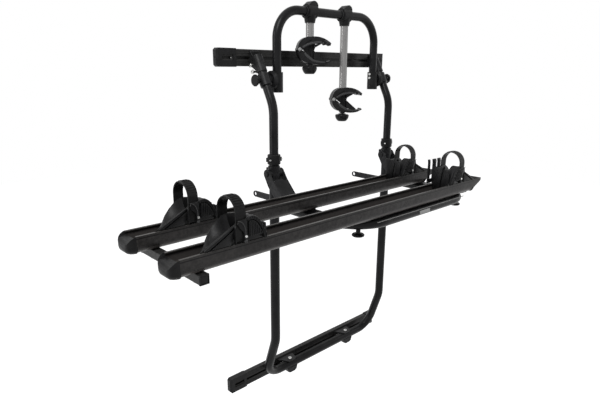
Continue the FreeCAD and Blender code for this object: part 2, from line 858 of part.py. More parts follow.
def arm_clamp(x):
    """Clamp that turns on the liner, with a tapered neck and a wedge shaped cap."""
    half = arm_clamp_length / 2
    bore = hoop_tube_radius + 2 * running_gap + liner_wall
    barrel = rod(V(x - half, hoop_y, hoop_top), X_AXIS, arm_clamp_radius, arm_clamp_length)
    barrel = barrel.makeFillet(3, [e for e in barrel.Edges if len(e.Vertexes) == 1])
    neck_height = hoop_top - arm_clamp_radius + 12 - arm_neck_z
    neck = Part.makeCone(arm_neck_radius, half, neck_height, V(x, hoop_y, arm_neck_z))
    shoulder = hoop_top + 12
    wedge = [(x - half - 3, shoulder), (x - half - 3, shoulder + 3), (x - 5, hoop_top + arm_clamp_radius + 6),
             ((x + half - 5, hoop_top + arm_clamp_radius + 7), (x + half + 3, hoop_top + arm_clamp_radius - 3)),
             (x + half + 3, shoulder)]
    cap = plate_y(wedge, hoop_y - 15, hoop_y + 15)
    clamp = joined([barrel, neck, cap])
    clamp = clamp.cut(rod(V(x - half - 4, hoop_y, hoop_top), X_AXIS, bore, arm_clamp_length + 8))
    socket = rod(V(x, hoop_y, arm_neck_z - 1), Z_AXIS, arm_tube_radius, arm_tube_top - arm_neck_z + 1)
    split = box(x - half - 4, x + half + 4, hoop_y + bore - 2, hoop_y + arm_clamp_radius + 1,
                hoop_top - 1, hoop_top + 1)
    return clamp.cut(socket).cut(split)


def arm_tube(x, claw_z):
    foot = claw_z + socket_floor + free_gap
    outer = rod(V(x, hoop_y, foot), Z_AXIS, arm_tube_radius, arm_tube_top - foot)
    return outer.cut(rod(V(x, hoop_y, foot), Z_AXIS, arm_tube_radius - arm_tube_wall, arm_tube_top - foot))


def claw_place(shape, x, claw_z):
    """From the claw's own plane, rivet height at 0, to its place under an arm."""
    copy = shape.copy()
    copy.rotate(V(0, 0, 0), Z_AXIS, claw_turn)
    copy.translate(V(x, hoop_y, claw_z))
    return copy


def rivet_disc(radius, half_width):
    return rod(V(rivet_u, -half_width, 0), Y_AXIS, radius, 2 * half_width)


def upper_jaw():
    """Curved jaw with a toothed hook at its tip, forked at the rivet, and its rubber pad."""
    half = claw_thick / 2
    tip = claw_reach
    side_view = [(rivet_u - 7, 4), ((-35, 29), (0, 41.5)), ((41, 39), (tip, 21)), (tip - 3, 13),
                 ((tip - 7, 15), (tip - 13, 25)), (tip - 20, 15), ((tip - 24, 18), (tip - 28, 26)),
                 (tip - 34, 19), ((4, 16), (rivet_u + 14, 2.5)), (rivet_u, 2.5)]
    jaw = plate_y(side_view, -half, half)
    jaw = jaw.fuse(rivet_disc(rivet_boss, half))
    tongue_room = rivet_tongue / 2 + free_gap
    jaw = jaw.cut(rivet_disc(rivet_boss + 1, tongue_room))
    jaw = jaw.cut(rivet_disc(rivet_radius, half + 1))
    jaw = jaw.cut(rod(V(0, 0, socket_floor), Z_AXIS, arm_tube_radius + running_gap, 30))
    guard = [(-27, 6), (-27, 1), (-14, -9.5), (-9, -12.5), (-9, -30), (16, -30), (16, -2), (19, 6),
             (19, 20), (0, 20)]
    jaw = jaw.fuse(plate_y(guard, -guard_half, guard_half))
    jaw = jaw.cut(rod(V(0, 0, jaw_seat), Z_AXIS, spindle_radius, spindle_top - jaw_seat))
    for way in SIDES:
        pocket = plate_y([(-24, 12), ((-14, 25), (4, 32)), ((-12, 18), (-24, 12))], way * half, way * (half - 3))
        jaw = jaw.cut(pocket)
    pad = plate_y([(12, 4), (37, 17.5), (37, 19.2), ((26, 18), (12, 16))], -half + 5, half - 5)
    return jaw.removeSplitter(), pad.cut(jaw)


def lower_jaw():
    """Lower jaw with an upturned tip, a tongue at the rivet and its rubber pad."""
    half = claw_thick / 2
    tip = claw_reach
    side_view = [(rivet_u - 7, -4), ((-34, -33), (-4, -46)), ((26, -50.5), (55, -47.5)), (tip, -39),
                 (tip - 3, -34), ((tip - 12, -41), (tip - 22, -39)), ((10, -33), (rivet_u + 14, -5)),
                 (rivet_u, -2.5)]
    jaw = plate_y(side_view, -half, half)
    jaw = jaw.fuse(rivet_disc(rivet_boss, rivet_tongue / 2))
    for way in SIDES:
        start = V(rivet_u, way * (rivet_tongue / 2), 0)
        jaw = jaw.cut(rod(start, Y_AXIS * way, rivet_boss + 1, half))
    jaw = jaw.cut(rivet_disc(rivet_radius + running_gap, half + 1))
    seat = rod(V(0, -12, jaw_seat + jaw_seat_radius), Y_AXIS, jaw_seat_radius, 24)
    jaw = jaw.fuse(seat).removeSplitter()
    room = spindle_radius + free_gap
    slot = box(slot_back, slot_ahead, -room, room, jaw_seat - 1, 0)
    pad = plate_y([(12, -4), (50, -36), (50, -40), ((30, -38), (12, -33))], -half + 5, half - 5)
    pad = pad.cut(jaw).cut(slot)
    return jaw.cut(slot), pad


def jaw_rivet():
    """Rivet through both jaws with a domed head each side."""
    half = claw_thick / 2
    shank = rivet_disc(rivet_radius, half)
    heads = []
    for way in SIDES:
        head = Part.makeCone(6.5, 4, 2.5, V(rivet_u, way * half, 0), Y_AXIS * way)
        heads.append(head)
    return joined([shank] + heads)


def jaw_spindle():
    return rod(V(0, 0, spindle_foot), Z_AXIS, spindle_radius, spindle_top - spindle_foot)


def jaw_washer():
    """Washer that the knob lifts along the spindle and that lifts the lower jaw."""
    low = claw_knob_top + free_gap
    ring = rod(V(0, 0, low), Z_AXIS, washer_radius, washer_thick)
    return ring.cut(rod(V(0, 0, low - 1), Z_AXIS, spindle_radius + running_gap, washer_thick + 2))


def claw_knob():
    """Cup shaped knob under the claw, wide at the top, with grip flutes."""
    top = claw_knob_top
    low = top - claw_knob_height
    r = claw_knob_radius
    profile = [(0, low), (r - 11, low), ((r - 3, low + 9), (r, top - 5)), ((r - 1.5, top - 1), (r - 4, top)),
               (0, top)]
    body = outline(across_y(0), profile).revolve(V(0, 0, 0), Z_AXIS, 360)
    for index in range(8):
        angle = 2 * math.pi * index / 8
        flute = rod(V((r + 5) * math.cos(angle), (r + 5) * math.sin(angle), low - 1), Z_AXIS, 7,
                    claw_knob_height + 2)
        body = body.cut(flute)
    return body.cut(rod(V(0, 0, top - knob_bore), Z_AXIS, spindle_radius + running_gap, knob_bore + 1))


# Platform

def platform_section(width, height):
    """Flat oval across the start of the platform tube, which points along the leaning leg."""
    rise = math.radians(leg_rise)
    up = V(0, -math.sin(rise), math.cos(rise))
    start = leg_end_point()
    flat = (width - height) / 2
    r = height / 2
    a = start + X_AXIS * flat + up * r
    b = start - X_AXIS * flat + up * r
    c = start - X_AXIS * flat - up * r
    d = start + X_AXIS * flat - up * r
    left = start - X_AXIS * (flat + r)
    right = start + X_AXIS * (flat + r)
    edges = [Part.LineSegment(a, b).toShape(), Part.Arc(b, left, c).toShape(),
             Part.LineSegment(c, d).toShape(), Part.Arc(d, right, a).toShape()]
    return Part.Wire(edges)


def leg_direction():
    rise = math.radians(leg_rise)
    return V(0, math.cos(rise), math.sin(rise))


def leg_end_point():
    """Far end of the left leg's centre line, past the fork."""
    return V(-leg_half, leg_bend_y, platform_z) + leg_direction() * leg_overrun


def platform_tube():
    """Flat oval tube bent to a U lying flat, its legs rising to the hinges."""
    left_end = leg_end_point()
    right_end = V(leg_half, left_end.y, left_end.z)
    points = [left_end, V(-leg_half, leg_bend_y, platform_z), V(-leg_half, platform_front, platform_z),
              V(leg_half, platform_front, platform_z), V(leg_half, leg_bend_y, platform_z), right_end]
    path = bent_path(points, [leg_bend, platform_bend, platform_bend, leg_bend])
    outer = swept(path, platform_section(oval_width, oval_height))
    inner = swept(path, platform_section(oval_width - 2 * platform_wall, oval_height - 2 * platform_wall))
    tube = outer.cut(inner)
    reach = hinge_collar_radius + 4
    tube = tube.cut(box(-leg_half - oval_width, leg_half + oval_width, upright_y - reach, upright_y + leg_overrun,
                        platform_z, pivot_z + leg_overrun))
    for side in SIDES:
        at = V(side * rail_knob_x, rail_knob_y, platform_z - oval_height)
        tube = tube.cut(rod(at, Z_AXIS, stud_radius + stud_gap, 2 * oval_height))
    return tube


def fork_points(near, far, offset_top, offset_low):
    """Corners in Y and Z of a band along the leg, measured back from the hinge."""
    along = leg_direction()
    up = V(0, -along.z, along.y)
    pivot = V(0, upright_y, pivot_z)
    spots = (pivot - along * near + up * offset_top, pivot - along * far + up * offset_top,
             pivot - along * far + up * offset_low, pivot - along * near + up * offset_low)
    return [(spot.y, spot.z) for spot in spots]


def leg_top_offset():
    """Height of the leg's top face over the hinge axis, measured square to the leg."""
    along = leg_direction()
    up = V(0, -along.z, along.y)
    centre = V(0, leg_bend_y, platform_z) - V(0, upright_y, pivot_z)
    return centre.dot(up) + oval_height / 2


def fork_cheek(x0, x1):
    """Cheek with a round eye at the hinge that widens to the depth of the leg."""
    top = leg_top_offset() + 4
    low = leg_top_offset() - oval_height
    band = fork_points(fork_web_start - 4, fork_length, top, low)
    along = leg_direction()
    pivot = V(0, upright_y, pivot_z)
    up = V(0, -along.z, along.y)
    a = pivot + up * fork_eye
    b = pivot + along * fork_eye
    c = pivot - up * fork_eye
    mid_top = pivot + (up + along).normalize() * fork_eye
    mid_low = pivot + (along - up).normalize() * fork_eye
    points = [band[1], band[0], (a.y, a.z), ((mid_top.y, mid_top.z), (b.y, b.z)),
              ((mid_low.y, mid_low.z), (c.y, c.z)), band[3], band[2]]
    return plate_x(points, x0, x1)


def platform_fork(side):
    """Pressed fork over the leg's end: two cheeks joined by a web on the leg's top face."""
    x = side * leg_half
    inner = fork_inside
    outer = fork_inside + fork_plate
    cheeks = [fork_cheek(x - outer, x - inner), fork_cheek(x + inner, x + outer)]
    top = leg_top_offset()
    web = plate_x(fork_points(fork_web_start, fork_length, top + 3.5, top), x - inner, x + inner)
    fork = joined([cheeks[0], web, cheeks[1]])
    return fork.cut(rod(V(x - outer - 1, upright_y, pivot_z), X_AXIS, hinge_pin_radius + running_gap,
                        2 * outer + 2))


def platform_forks():
    return group([platform_fork(side) for side in SIDES])


# Bike rails

def channel_outline(width, height, corner):
    """Round bottomed U in Y and Z, its bottom at 0, closed straight across the top."""
    half = width / 2
    diagonal = corner * (1 - math.sqrt(0.5))
    return [(-half, height), (-half, corner), ((-half + diagonal, diagonal), (-half + corner, 0)),
            (half - corner, 0), ((half - diagonal, diagonal), (half, corner)), (half, height)]


def bike_rail_profile(x0, x1):
    outer = plate_x(channel_outline(bike_rail_width, bike_rail_height, bike_rail_corner), x0, x1)
    wall = bike_rail_wall
    inner = channel_outline(bike_rail_width - 2 * wall, bike_rail_height, bike_rail_corner - wall)
    hollow = moved(plate_x(inner, x0, x1), 0, 0, wall)
    rail = outer.cut(hollow)
    half = bike_rail_width / 2
    for side in SIDES:
        low = min(side * half, side * (half - bike_rail_lip))
        rail = rail.fuse(box(x0, x1, low, low + bike_rail_lip, bike_rail_height - 3, bike_rail_height))
    ridge_half = track_width / 2 + track_skin
    ridge = box(x0, x1, -ridge_half, ridge_half, 0, track_skin * 2 + track_height)
    mouth = box(x0, x1, -track_mouth / 2, track_mouth / 2, 0, track_skin)
    track = box(x0, x1, -track_width / 2, track_width / 2, track_skin, track_skin + track_height)
    return rail.fuse(ridge).removeSplitter().cut(mouth.fuse(track))


def bike_rail(y):
    return moved(bike_rail_profile(bike_rail_start, bike_rail_end), 0, y, bike_rail_z)


def rail_nose(y):
    """Bow shaped cap: round in plan, its bottom swept up and its top a sloping scoop."""
    x1 = bike_rail_start
    x0 = x1 - nose_length
    half = bike_rail_width / 2
    top = bike_rail_height
    block = plate_x(channel_outline(bike_rail_width, top, bike_rail_corner), x0, x1)
    plan = plate_z([(x1, half), ((x0, 0), (x1, -half))], 0, top)
    side_view = [(x1, 0), (x1, top), (x1 - 3, top), (x0, 16), ((x0 + 5, 5), (x0 + 20, 0))]
    block = block.common(plan).common(plate_y(side_view, -half, half))
    return moved(block, 0, y, bike_rail_z)


def rail_tail(y):
    """Tail cap: the channel runs on while its floor sweeps up to a thin rounded tip.
    Its recess leaves room for the clamp's head in the track."""
    x0 = bike_rail_end
    x1 = bike_rail_end + tail_length
    half = bike_rail_width / 2
    top = bike_rail_height
    wall = bike_rail_wall
    block = plate_x(channel_outline(bike_rail_width, top, bike_rail_corner), x0, x1)
    inner = channel_outline(bike_rail_width - 2 * wall, top, bike_rail_corner - wall)
    hollow = moved(plate_x(inner, x0, x1), 0, 0, wall)
    under = [(x0, 0), (x1 - 9, top - tail_tip), ((x1 - 2, top - tail_tip + 5), (x1, top)), (x0, top)]
    level = wall + 9
    floor = [(x0 - 1, level), (x0 + 8, level), (x1 - 12, top - tail_tip + 6), (x1 - 4, top + 1),
             (x0 - 1, top + 1)]
    block = block.common(plate_y(under, -half, half))
    block = block.cut(hollow.common(plate_y(floor, -half, half)))
    for side in SIDES:
        low = min(side * half, side * (half - bike_rail_lip))
        lip = box(x0, x1 - 8, low, low + bike_rail_lip, top - 3, top)
        block = block.fuse(lip)
    recess = box(x0, leg_half + rail_clamp_length / 2, -track_width / 2, track_width / 2, -1,
                 track_skin + track_height)
    return moved(block.removeSplitter().cut(recess), 0, y, bike_rail_z)


def platform_end_caps():
    caps = [cross_bar_cap(cross_bar_front - cross_cap, cross_bar_front),
            cross_bar_cap(cross_bar_back, cross_bar_back + cross_cap)]
    for y in (platform_front, bike_rail_back_y):
        caps.append(rail_nose(y))
        caps.append(rail_tail(y))
    return group(caps)


def cross_bar():
    half = cross_bar_size / 2
    low = bike_rail_z - cross_bar_size
    bar = box(cross_bar_x - half, cross_bar_x + half, cross_bar_front, cross_bar_back, low, bike_rail_z)
    bar = bar.makeFillet(2.5, [e for e in bar.Edges if abs(e.Vertexes[0].Point.y - e.Vertexes[1].Point.y) > 1])
    inner = half - cross_bar_wall
    hollow = box(cross_bar_x - inner, cross_bar_x + inner, cross_bar_front, cross_bar_back,
                 low + cross_bar_wall, bike_rail_z - cross_bar_wall)
    bar = bar.cut(hollow)
    for y in (platform_front, bike_rail_back_y):
        bar = bar.cut(rod(V(cross_bar_x, y, low - 1), Z_AXIS, bolt_radius - 0.5, cross_bar_size + 2))
    return bar


def cross_bar_cap(y0, y1):
    half = cross_bar_size / 2 + 1
    middle = bike_rail_z - cross_bar_size / 2 - 1
    cap = box(cross_bar_x - half, cross_bar_x + half, y0, y1, middle - half, middle + half)
    return cap.makeFillet(2, [e for e in cap.Edges if abs(e.Vertexes[0].Point.y - e.Vertexes[1].Point.y) > 1])


def cross_bar_bolts():
    low = bike_rail_z - cross_bar_size
    bolts = []
    for y in (platform_front, bike_rail_back_y):
        screw = bolt(V(cross_bar_x, y, low), -Z_AXIS, cross_bar_size + track_skin + 1, bolt_radius - 0.5)
        half = track_width / 2 - 0.4
        nut = box(cross_bar_x - half, cross_bar_x + half, y - half, y + half,
                  bike_rail_z + track_skin, bike_rail_z + track_skin + track_height - 0.6)
        bolts.append(joined([screw, nut]))
    return group(bolts)


def rail_clamp(x, y, stud_y):
    """Plate between tube and rail, with a T head that runs in the rail's track."""
    half = rail_clamp_length / 2
    low = bike_rail_z - rail_clamp_plate
    plate_y0 = min(y, stud_y) - 12
    plate_y1 = max(y, stud_y) + 12
    plate = box(x - half, x + half, plate_y0, plate_y1, low, bike_rail_z)
    plate = plate.makeFillet(5, [e for e in plate.Edges
                                 if abs(e.Vertexes[0].Point.z - e.Vertexes[1].Point.z) > 1])
    neck_half = track_mouth / 2 - free_gap
    head_half = track_width / 2 - free_gap
    neck = box(x - half + 5, x + half - 5, y - neck_half, y + neck_half, bike_rail_z,
               bike_rail_z + track_skin + free_gap)
    head = box(x - half + 5, x + half - 5, y - head_half, y + head_half,
               bike_rail_z + track_skin + free_gap, bike_rail_z + track_skin + track_height - free_gap)
    return joined([plate, neck, head])


def rail_clamps():
    clamps = []
    for side in SIDES:
        front = rail_clamp(side * rail_knob_x, platform_front, rail_knob_y)
        hole = rod(V(side * rail_knob_x, rail_knob_y, platform_z), Z_AXIS, stud_radius + stud_gap, 40)
        clamps.append(front.cut(hole))
        clamps.append(rail_clamp(side * leg_half, bike_rail_back_y, bike_rail_back_y))
    return group(clamps)


# Wheel holders, made with the strap at the origin and the lips at height 0

def cradle_side_view():
    """Outline along the rail: a long ramp, a peak at the strap and a steep round cover."""
    peak = cheek_height
    return [(-ramp_length, -cradle_depth), (-ramp_length, 3), (-14, peak - 4), ((-8, peak), (0, peak + 1)),
            (14, peak + 4), ((44, peak - 2), (60, 38)), ((68, 20), (cover_length, 4)),
            (cover_length, -cradle_depth)]


def cradle():
    """Moulded cradle: two ribbed cheeks on the rail's lips, skirts inside it and a buckle housing."""
    lip_inside = bike_rail_width / 2 - bike_rail_lip
    skirt = lip_inside - free_gap
    envelope = plate_y(cradle_side_view(), -80, 80)
    blocks = []
    for way in SIDES:
        cheek = sorted((way * cheek_inside, way * cheek_outside))
        blocks.append(box(-ramp_length, cover_length, cheek[0], cheek[1], free_gap, 80))
        wall = sorted((way * (skirt - 4), way * skirt))
        blocks.append(box(-ramp_length, cover_length, wall[0], wall[1], -cradle_depth, 10))
    floor_top = -cradle_depth + 3
    blocks.append(box(-ramp_length, cover_length, -skirt, skirt, -cradle_depth, floor_top))
    body = joined(blocks).common(envelope)
    for way in SIDES:
        face = way * cheek_outside
        deep = way * (cheek_outside - 3)
        body = body.cut(plate_y([(-78, 8), (-24, 42), (-16, 40), (-16, 34), (-64, 5)], face, deep))
        body = body.cut(plate_y([(-50, 5), (-18, 26), (-18, 5)], face, deep))
        body = body.cut(plate_y([(22, 6), (22, 44), (30, 42), (30, 6)], face, deep))
        body = body.cut(plate_y([(36, 6), (36, 38), (44, 30), (44, 6)], face, deep))
    return joined([body, near_housing(), far_anchor()]).cut(strap_room())


def near_housing():
    """Strap guide and round hood on the near cheek; the hood holds the ratchet, open for its lever."""
    outside = -housing_outside
    inside = -cheek_outside + 1
    side_view = [(housing_left, 3), (housing_left, 42), (housing_left + 5, 48), (lever_left - 3, 50),
                 (lever_left - 2, 66), ((lever_left + 8, 76), (lever_left + 18, 74)),
                 ((housing_right - 5, 56), (housing_right, 12)), (housing_right, 3)]
    block = plate_y(side_view, outside, inside)
    recess = box(lever_left, housing_right - 4, outside - 1, outside + housing_recess, 8, 58)
    block = block.cut(recess)
    for index in range(4):
        x = lever_left + 5 + 8 * index
        block = block.cut(box(x, x + 3, outside - 1, outside + 1.5, 60, 72))
    pin = rod(V(lever_left - 4, outside + lever_pin_depth, lever_pin_h), X_AXIS, lever_pin_radius + running_gap,
              housing_right - lever_left + 5)
    return block.cut(pin)


def far_anchor():
    half = strap_width / 2 + 4
    block = box(-half, half, cheek_outside - 1, cheek_outside + 8, 4, 34)
    return block.makeFillet(3, [e for e in block.Edges
                                if all(v.Point.y > cheek_outside + 7 for v in e.Vertexes)])


def strap_room():
    """Slots that the strap's two ends run in."""
    half = strap_width / 2 + free_gap
    inner = cheek_outside
    outer = strap_arch + strap_thick / 2 + free_gap
    near = box(-half, half, -outer, -inner, 8, 90)
    far = box(-half, half, inner, outer, 8, 90)
    return near.fuse(far)


def strap():
    """Toothed strap arched over the wheel, its ends down in the housing and the anchor."""
    r_out = strap_arch + strap_thick / 2
    r_in = strap_arch - strap_thick / 2
    crown = strap_top - r_out
    foot = 9
    points = [(-r_out, foot), (-r_out, crown), ((0, strap_top), (r_out, crown)), (r_out, foot),
              (r_in, foot), (r_in, crown), ((0, crown + r_in), (-r_in, crown)), (-r_in, foot)]
    half = strap_width / 2
    band = plate_x(points, -half, half)
    teeth = []
    for index in range(strap_tooth_count):
        angle = math.radians(20 + 140 * index / (strap_tooth_count - 1))
        teeth.append(strap_tooth_at(angle, r_out, crown, half))
    return joined([band] + teeth)


def strap_tooth_at(angle, radius, crown, half):
    """One cross ridge on the strap's outer face."""
    inset = 4
    ridge = Part.makeBox(2 * (half - inset), 2.2, strap_tooth + 0.6, V(-(half - inset), -1.1, -0.6))
    ridge.rotate(V(0, 0, 0), X_AXIS, 90 - math.degrees(angle))
    ridge.rotate(V(0, 0, 0), Z_AXIS, 180)
    place = V(0, -radius * math.cos(angle), crown + radius * math.sin(angle))
    ridge.translate(place)
    return ridge


def buckle_lever():
    """Ratchet lever with upright grip ribs, turning on two short trunnions."""
    outside = -housing_outside
    x0 = lever_left + free_gap
    x1 = housing_right - 4 - free_gap
    pin_y = outside + lever_pin_depth
    r = lever_hub
    side_view = [(pin_y - r, lever_pin_h), (pin_y - r, 40), ((pin_y - r - 1, 50), (pin_y - r - 5, 57)),
                 (pin_y - r - 2, 58), ((pin_y, 50), (pin_y + 1, 40)), (pin_y + 1, lever_pin_h + r),
                 (pin_y + r, lever_pin_h), ((pin_y, lever_pin_h - r), (pin_y - r, lever_pin_h))]
    lever = plate_x(side_view, x0, x1)
    width = x1 - x0
    for index in range(5):
        x = x0 + width * (index + 0.5) / 5
        lever = lever.cut(box(x - 1.6, x + 1.6, pin_y - r - 1, pin_y - r + 1.5, 24, 48))
    trunnion = rod(V(lever_left - 3.5, pin_y, lever_pin_h), X_AXIS, lever_pin_radius,
                   housing_right - lever_left + 3)
    return joined([lever, trunnion])


def strap_keeper():
    """Three pronged guide on the far side of the front right holder."""
    face = cheek_outside
    base = box(-ramp_length, keeper_near, face, face + keeper_thick, 2, 16)
    prongs = []
    for s, half in ((-ramp_length + 6, 6), (-57, 11), (-28.5, 9)):
        points = [(s - half, 10), (s - half + 1, 72), (s - half - 2, 82), (s + half - 4, 82), (s + half, 74),
                  (s + half, 10)]
        prongs.append(plate_y(points, face, face + keeper_thick))
    return joined([base] + prongs)


def holder_place(shape, strap_x, y, flipped):
    """Left holders ramp up from the left, right holders are their mirror image."""
    copy = mirrored(shape) if flipped else shape
    return moved(copy, strap_x, y, bike_rail_z + bike_rail_height)


def keeper_place(shape, strap_x, y):
    return moved(shape, strap_x, y, bike_rail_z + bike_rail_height)


holders = (("front_left", left_strap_x, platform_front, False),
           ("front_right", right_strap_x, platform_front, True),
           ("back_left", left_strap_x, bike_rail_back_y, False),
           ("back_right", right_strap_x, bike_rail_back_y, True))

arms = (("short", short_arm_x, short_claw_z), ("long", long_arm_x, long_claw_z))


def save(name, shape):
    shape.exportStep(os.path.join("parts", name + ".step"))


def save_frame():
    save("lower_door_rail", door_rail())
    save("lower_rail_caps", rail_caps())
    save("lower_frame_tube", lower_frame_tube())
    save("lower_brackets", lower_brackets())
    save("lower_frame_bolts", lower_frame_bolts())
    save("height_collars", height_collars())
    save("hinge_collars", hinge_collars())
    save("hinge_pins", hinge_pins())
    save("stay_clips", stay_clips())
    save("left_door_stay", door_stay(-1))
    save("right_door_stay", door_stay(1))
    save("upper_door_rail", at_upper_rail(door_rail()))
    save("upper_rail_caps", at_upper_rail(rail_caps()))
    save("upper_tubes", upper_tubes())
    save("top_brackets", top_brackets())
    save("top_bracket_bolts", top_bracket_bolts())
    save("hoop_brackets", hoop_brackets())


def save_hoop():
    save("hoop_tube", hoop_tube())
    save("hoop_leg_clamps", hoop_leg_clamps())
    save("hoop_rivets", hoop_rivets())
    save("left_hoop_knob", hoop_knob(-1))
    save("right_hoop_knob", hoop_knob(1))


def save_arms():
    upper, upper_pad = upper_jaw()
    lower, lower_pad = lower_jaw()
    for name, x, claw_z in arms:
        save(name + "_arm_liner", arm_liner(x))
        save(name + "_arm_clamp", arm_clamp(x))
        save(name + "_arm_tube", arm_tube(x, claw_z))
        save(name + "_upper_jaw", claw_place(group([upper, upper_pad, jaw_spindle()]), x, claw_z))
        save(name + "_jaw_rivet", claw_place(jaw_rivet(), x, claw_z))
        save(name + "_lower_jaw", claw_place(group([lower, lower_pad]), x, claw_z))
        save(name + "_jaw_washer", claw_place(jaw_washer(), x, claw_z))
        save(name + "_claw_knob", claw_place(claw_knob(), x, claw_z))


def save_platform():
    save("platform_tube", platform_tube())
    save("platform_forks", platform_forks())
    save("rail_clamps", rail_clamps())
    save("left_rail_knob", rail_knob(-1))
    save("right_rail_knob", rail_knob(1))
    save("front_bike_rail", bike_rail(platform_front))
    save("back_bike_rail", bike_rail(bike_rail_back_y))
    save("platform_end_caps", platform_end_caps())
    save("cross_bar", cross_bar())
    save("cross_bar_bolts", cross_bar_bolts())


def save_holders():
    holder = cradle()
    band = strap()
    lever = buckle_lever()
    for name, strap_x, y, flipped in holders:
        body = holder_place(holder, strap_x, y, flipped)
        if name == "front_right":
            body = group([body, keeper_place(strap_keeper(), strap_x, y)])
        save(name + "_cradle", body)
        save(name + "_strap", holder_place(band, strap_x, y, flipped))
        save(name + "_buckle_lever", holder_place(lever, strap_x, y, flipped))


os.makedirs("parts", exist_ok=True)
save_frame()
save_hoop()
save_arms()
save_platform()
save_holders()
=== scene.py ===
import bmesh
import bpy
import math
from mathutils import Matrix, Vector


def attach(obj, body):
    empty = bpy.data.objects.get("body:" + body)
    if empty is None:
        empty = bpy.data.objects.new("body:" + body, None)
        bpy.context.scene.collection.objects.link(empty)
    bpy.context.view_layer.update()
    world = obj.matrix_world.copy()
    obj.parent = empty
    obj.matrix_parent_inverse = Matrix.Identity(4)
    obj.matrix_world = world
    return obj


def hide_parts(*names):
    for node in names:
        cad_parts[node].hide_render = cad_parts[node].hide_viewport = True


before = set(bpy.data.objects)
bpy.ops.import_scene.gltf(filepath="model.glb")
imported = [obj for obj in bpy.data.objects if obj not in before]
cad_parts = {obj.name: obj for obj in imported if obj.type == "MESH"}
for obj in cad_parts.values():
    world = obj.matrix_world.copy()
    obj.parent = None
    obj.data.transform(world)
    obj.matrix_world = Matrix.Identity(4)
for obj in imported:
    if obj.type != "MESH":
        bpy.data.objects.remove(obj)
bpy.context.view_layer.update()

# Camera: its place in metres and its angles in degrees, fitted to the 600 by 414 photograph
CAMERA_PLACE = (-1.363, -1.383, 1.146)
CAMERA_YAW = 42.80
CAMERA_PITCH = 15.40
CAMERA_ROLL = 0.274
FOCAL_PIXELS = 499.5
FRAME_WIDTH = 600
SENSOR_WIDTH = 36.0
VIEW_DEPTH = 60

# Studio: pale floor, soft world and three softboxes
WHITE = (1, 1, 1, 1)
FLOOR_LEVEL = -0.95
FLOOR_HALF = 9
FLOOR_TONE = (0.42, 0.42, 0.42, 1)
FLOOR_ROUGHNESS = 0.9
FLOOR_GLOW = 0.96
WORLD_TONE = (0.97, 0.98, 1.0, 1)
WORLD_LIGHT = 0.3
# Name, place, point it faces, width and height in metres, watts
LAMPS = (
    ("key_softbox", (-1.9, -1.2, 3.2), (-0.1, -0.2, 0.7), 1.3, 1.3, 60),
    ("left_strip", (-3.0, 0.9, 1.3), (0.0, -0.1, 0.8), 0.45, 2.2, 26),
    ("right_fill", (2.8, -1.9, 1.5), (0.0, -0.2, 0.7), 0.9, 1.8, 7),
)


# Node helpers

def link(tree, source, target):
    tree.links.new(source, target)


def node(tree, kind, **settings):
    made = tree.nodes.new(kind)
    for key, value in settings.items():
        setattr(made, key, value)
    return made


def feed(tree, socket, value):
    """Gives a socket the output of another node or a plain value."""
    if isinstance(value, bpy.types.NodeSocket):
        link(tree, value, socket)
    else:
        socket.default_value = value


def math_node(tree, operation, first, second, clamp=True):
    made = node(tree, "ShaderNodeMath", operation=operation, use_clamp=clamp)
    feed(tree, made.inputs[0], first)
    feed(tree, made.inputs[1], second)
    return made.outputs[0]


def ramp_node(tree, source, low, high, to_low=0.0, to_high=1.0):
    made = node(tree, "ShaderNodeMapRange", clamp=True)
    link(tree, source, made.inputs["Value"])
    made.inputs["From Min"].default_value = low
    made.inputs["From Max"].default_value = high
    made.inputs["To Min"].default_value = to_low
    made.inputs["To Max"].default_value = to_high
    return made.outputs["Result"]


def mix_color(tree, factor, first, second):
    made = node(tree, "ShaderNodeMix", data_type="RGBA")
    feed(tree, made.inputs[0], factor)
    feed(tree, made.inputs[6], first)
    feed(tree, made.inputs[7], second)
    return made.outputs[2]


def noise_node(tree, place, scale, detail, rough=0.5):
    made = node(tree, "ShaderNodeTexNoise")
    made.inputs["Scale"].default_value = scale
    made.inputs["Detail"].default_value = detail
    made.inputs["Roughness"].default_value = rough
    link(tree, place, made.inputs["Vector"])
    return made.outputs["Fac"]


def object_place(tree):
    return node(tree, "ShaderNodeTexCoord").outputs["Object"]


# Node groups that the finishes share

FLOAT = "NodeSocketFloat"
COLOR = "NodeSocketColor"
VECTOR = "NodeSocketVector"

# Noise: cells to the metre, octaves and, where it is given, roughness
BROAD_NOISE = (14.0, 4.0)
FINE_NOISE = (260.0, 2.0)
SCRATCH_NOISE = (90.0, 5.0, 0.7)
LINE_NOISE = (14.0, 4.0, 0.65)

# Spans of noise, pointiness or upward normal that become masks from 0 to 1
WORN_EDGE = (0.515, 0.60)
BROKEN_EDGE = (0.35, 0.62)
FACING_UP = (0.35, 1.0)
DUST_SPECKS = (0.18, 0.36)
MIDDLE_TONES = (0.35, 0.65)
FINE_TONES = (0.3, 0.7)

ROUGHNESS_SWING = 0.05
DUST_ROUGHNESS = 0.5
GRAIN_HEIGHT = 0.0004
LINE_HEIGHT = 0.0003
DUST_COLOR = (0.16, 0.155, 0.15, 1)


def group_tree(name, inputs, outputs):
    tree = bpy.data.node_groups.new(name, "ShaderNodeTree")
    for label, kind in inputs:
        tree.interface.new_socket(name=label, in_out="INPUT", socket_type=kind)
    for label, kind in outputs:
        tree.interface.new_socket(name=label, in_out="OUTPUT", socket_type=kind)
    return tree, node(tree, "NodeGroupInput"), node(tree, "NodeGroupOutput")


def bump_normal(tree, height, strength, distance):
    bump = node(tree, "ShaderNodeBump")
    bump.inputs["Distance"].default_value = distance
    link(tree, strength, bump.inputs["Strength"])
    link(tree, height, bump.inputs["Height"])
    return bump.outputs["Normal"]


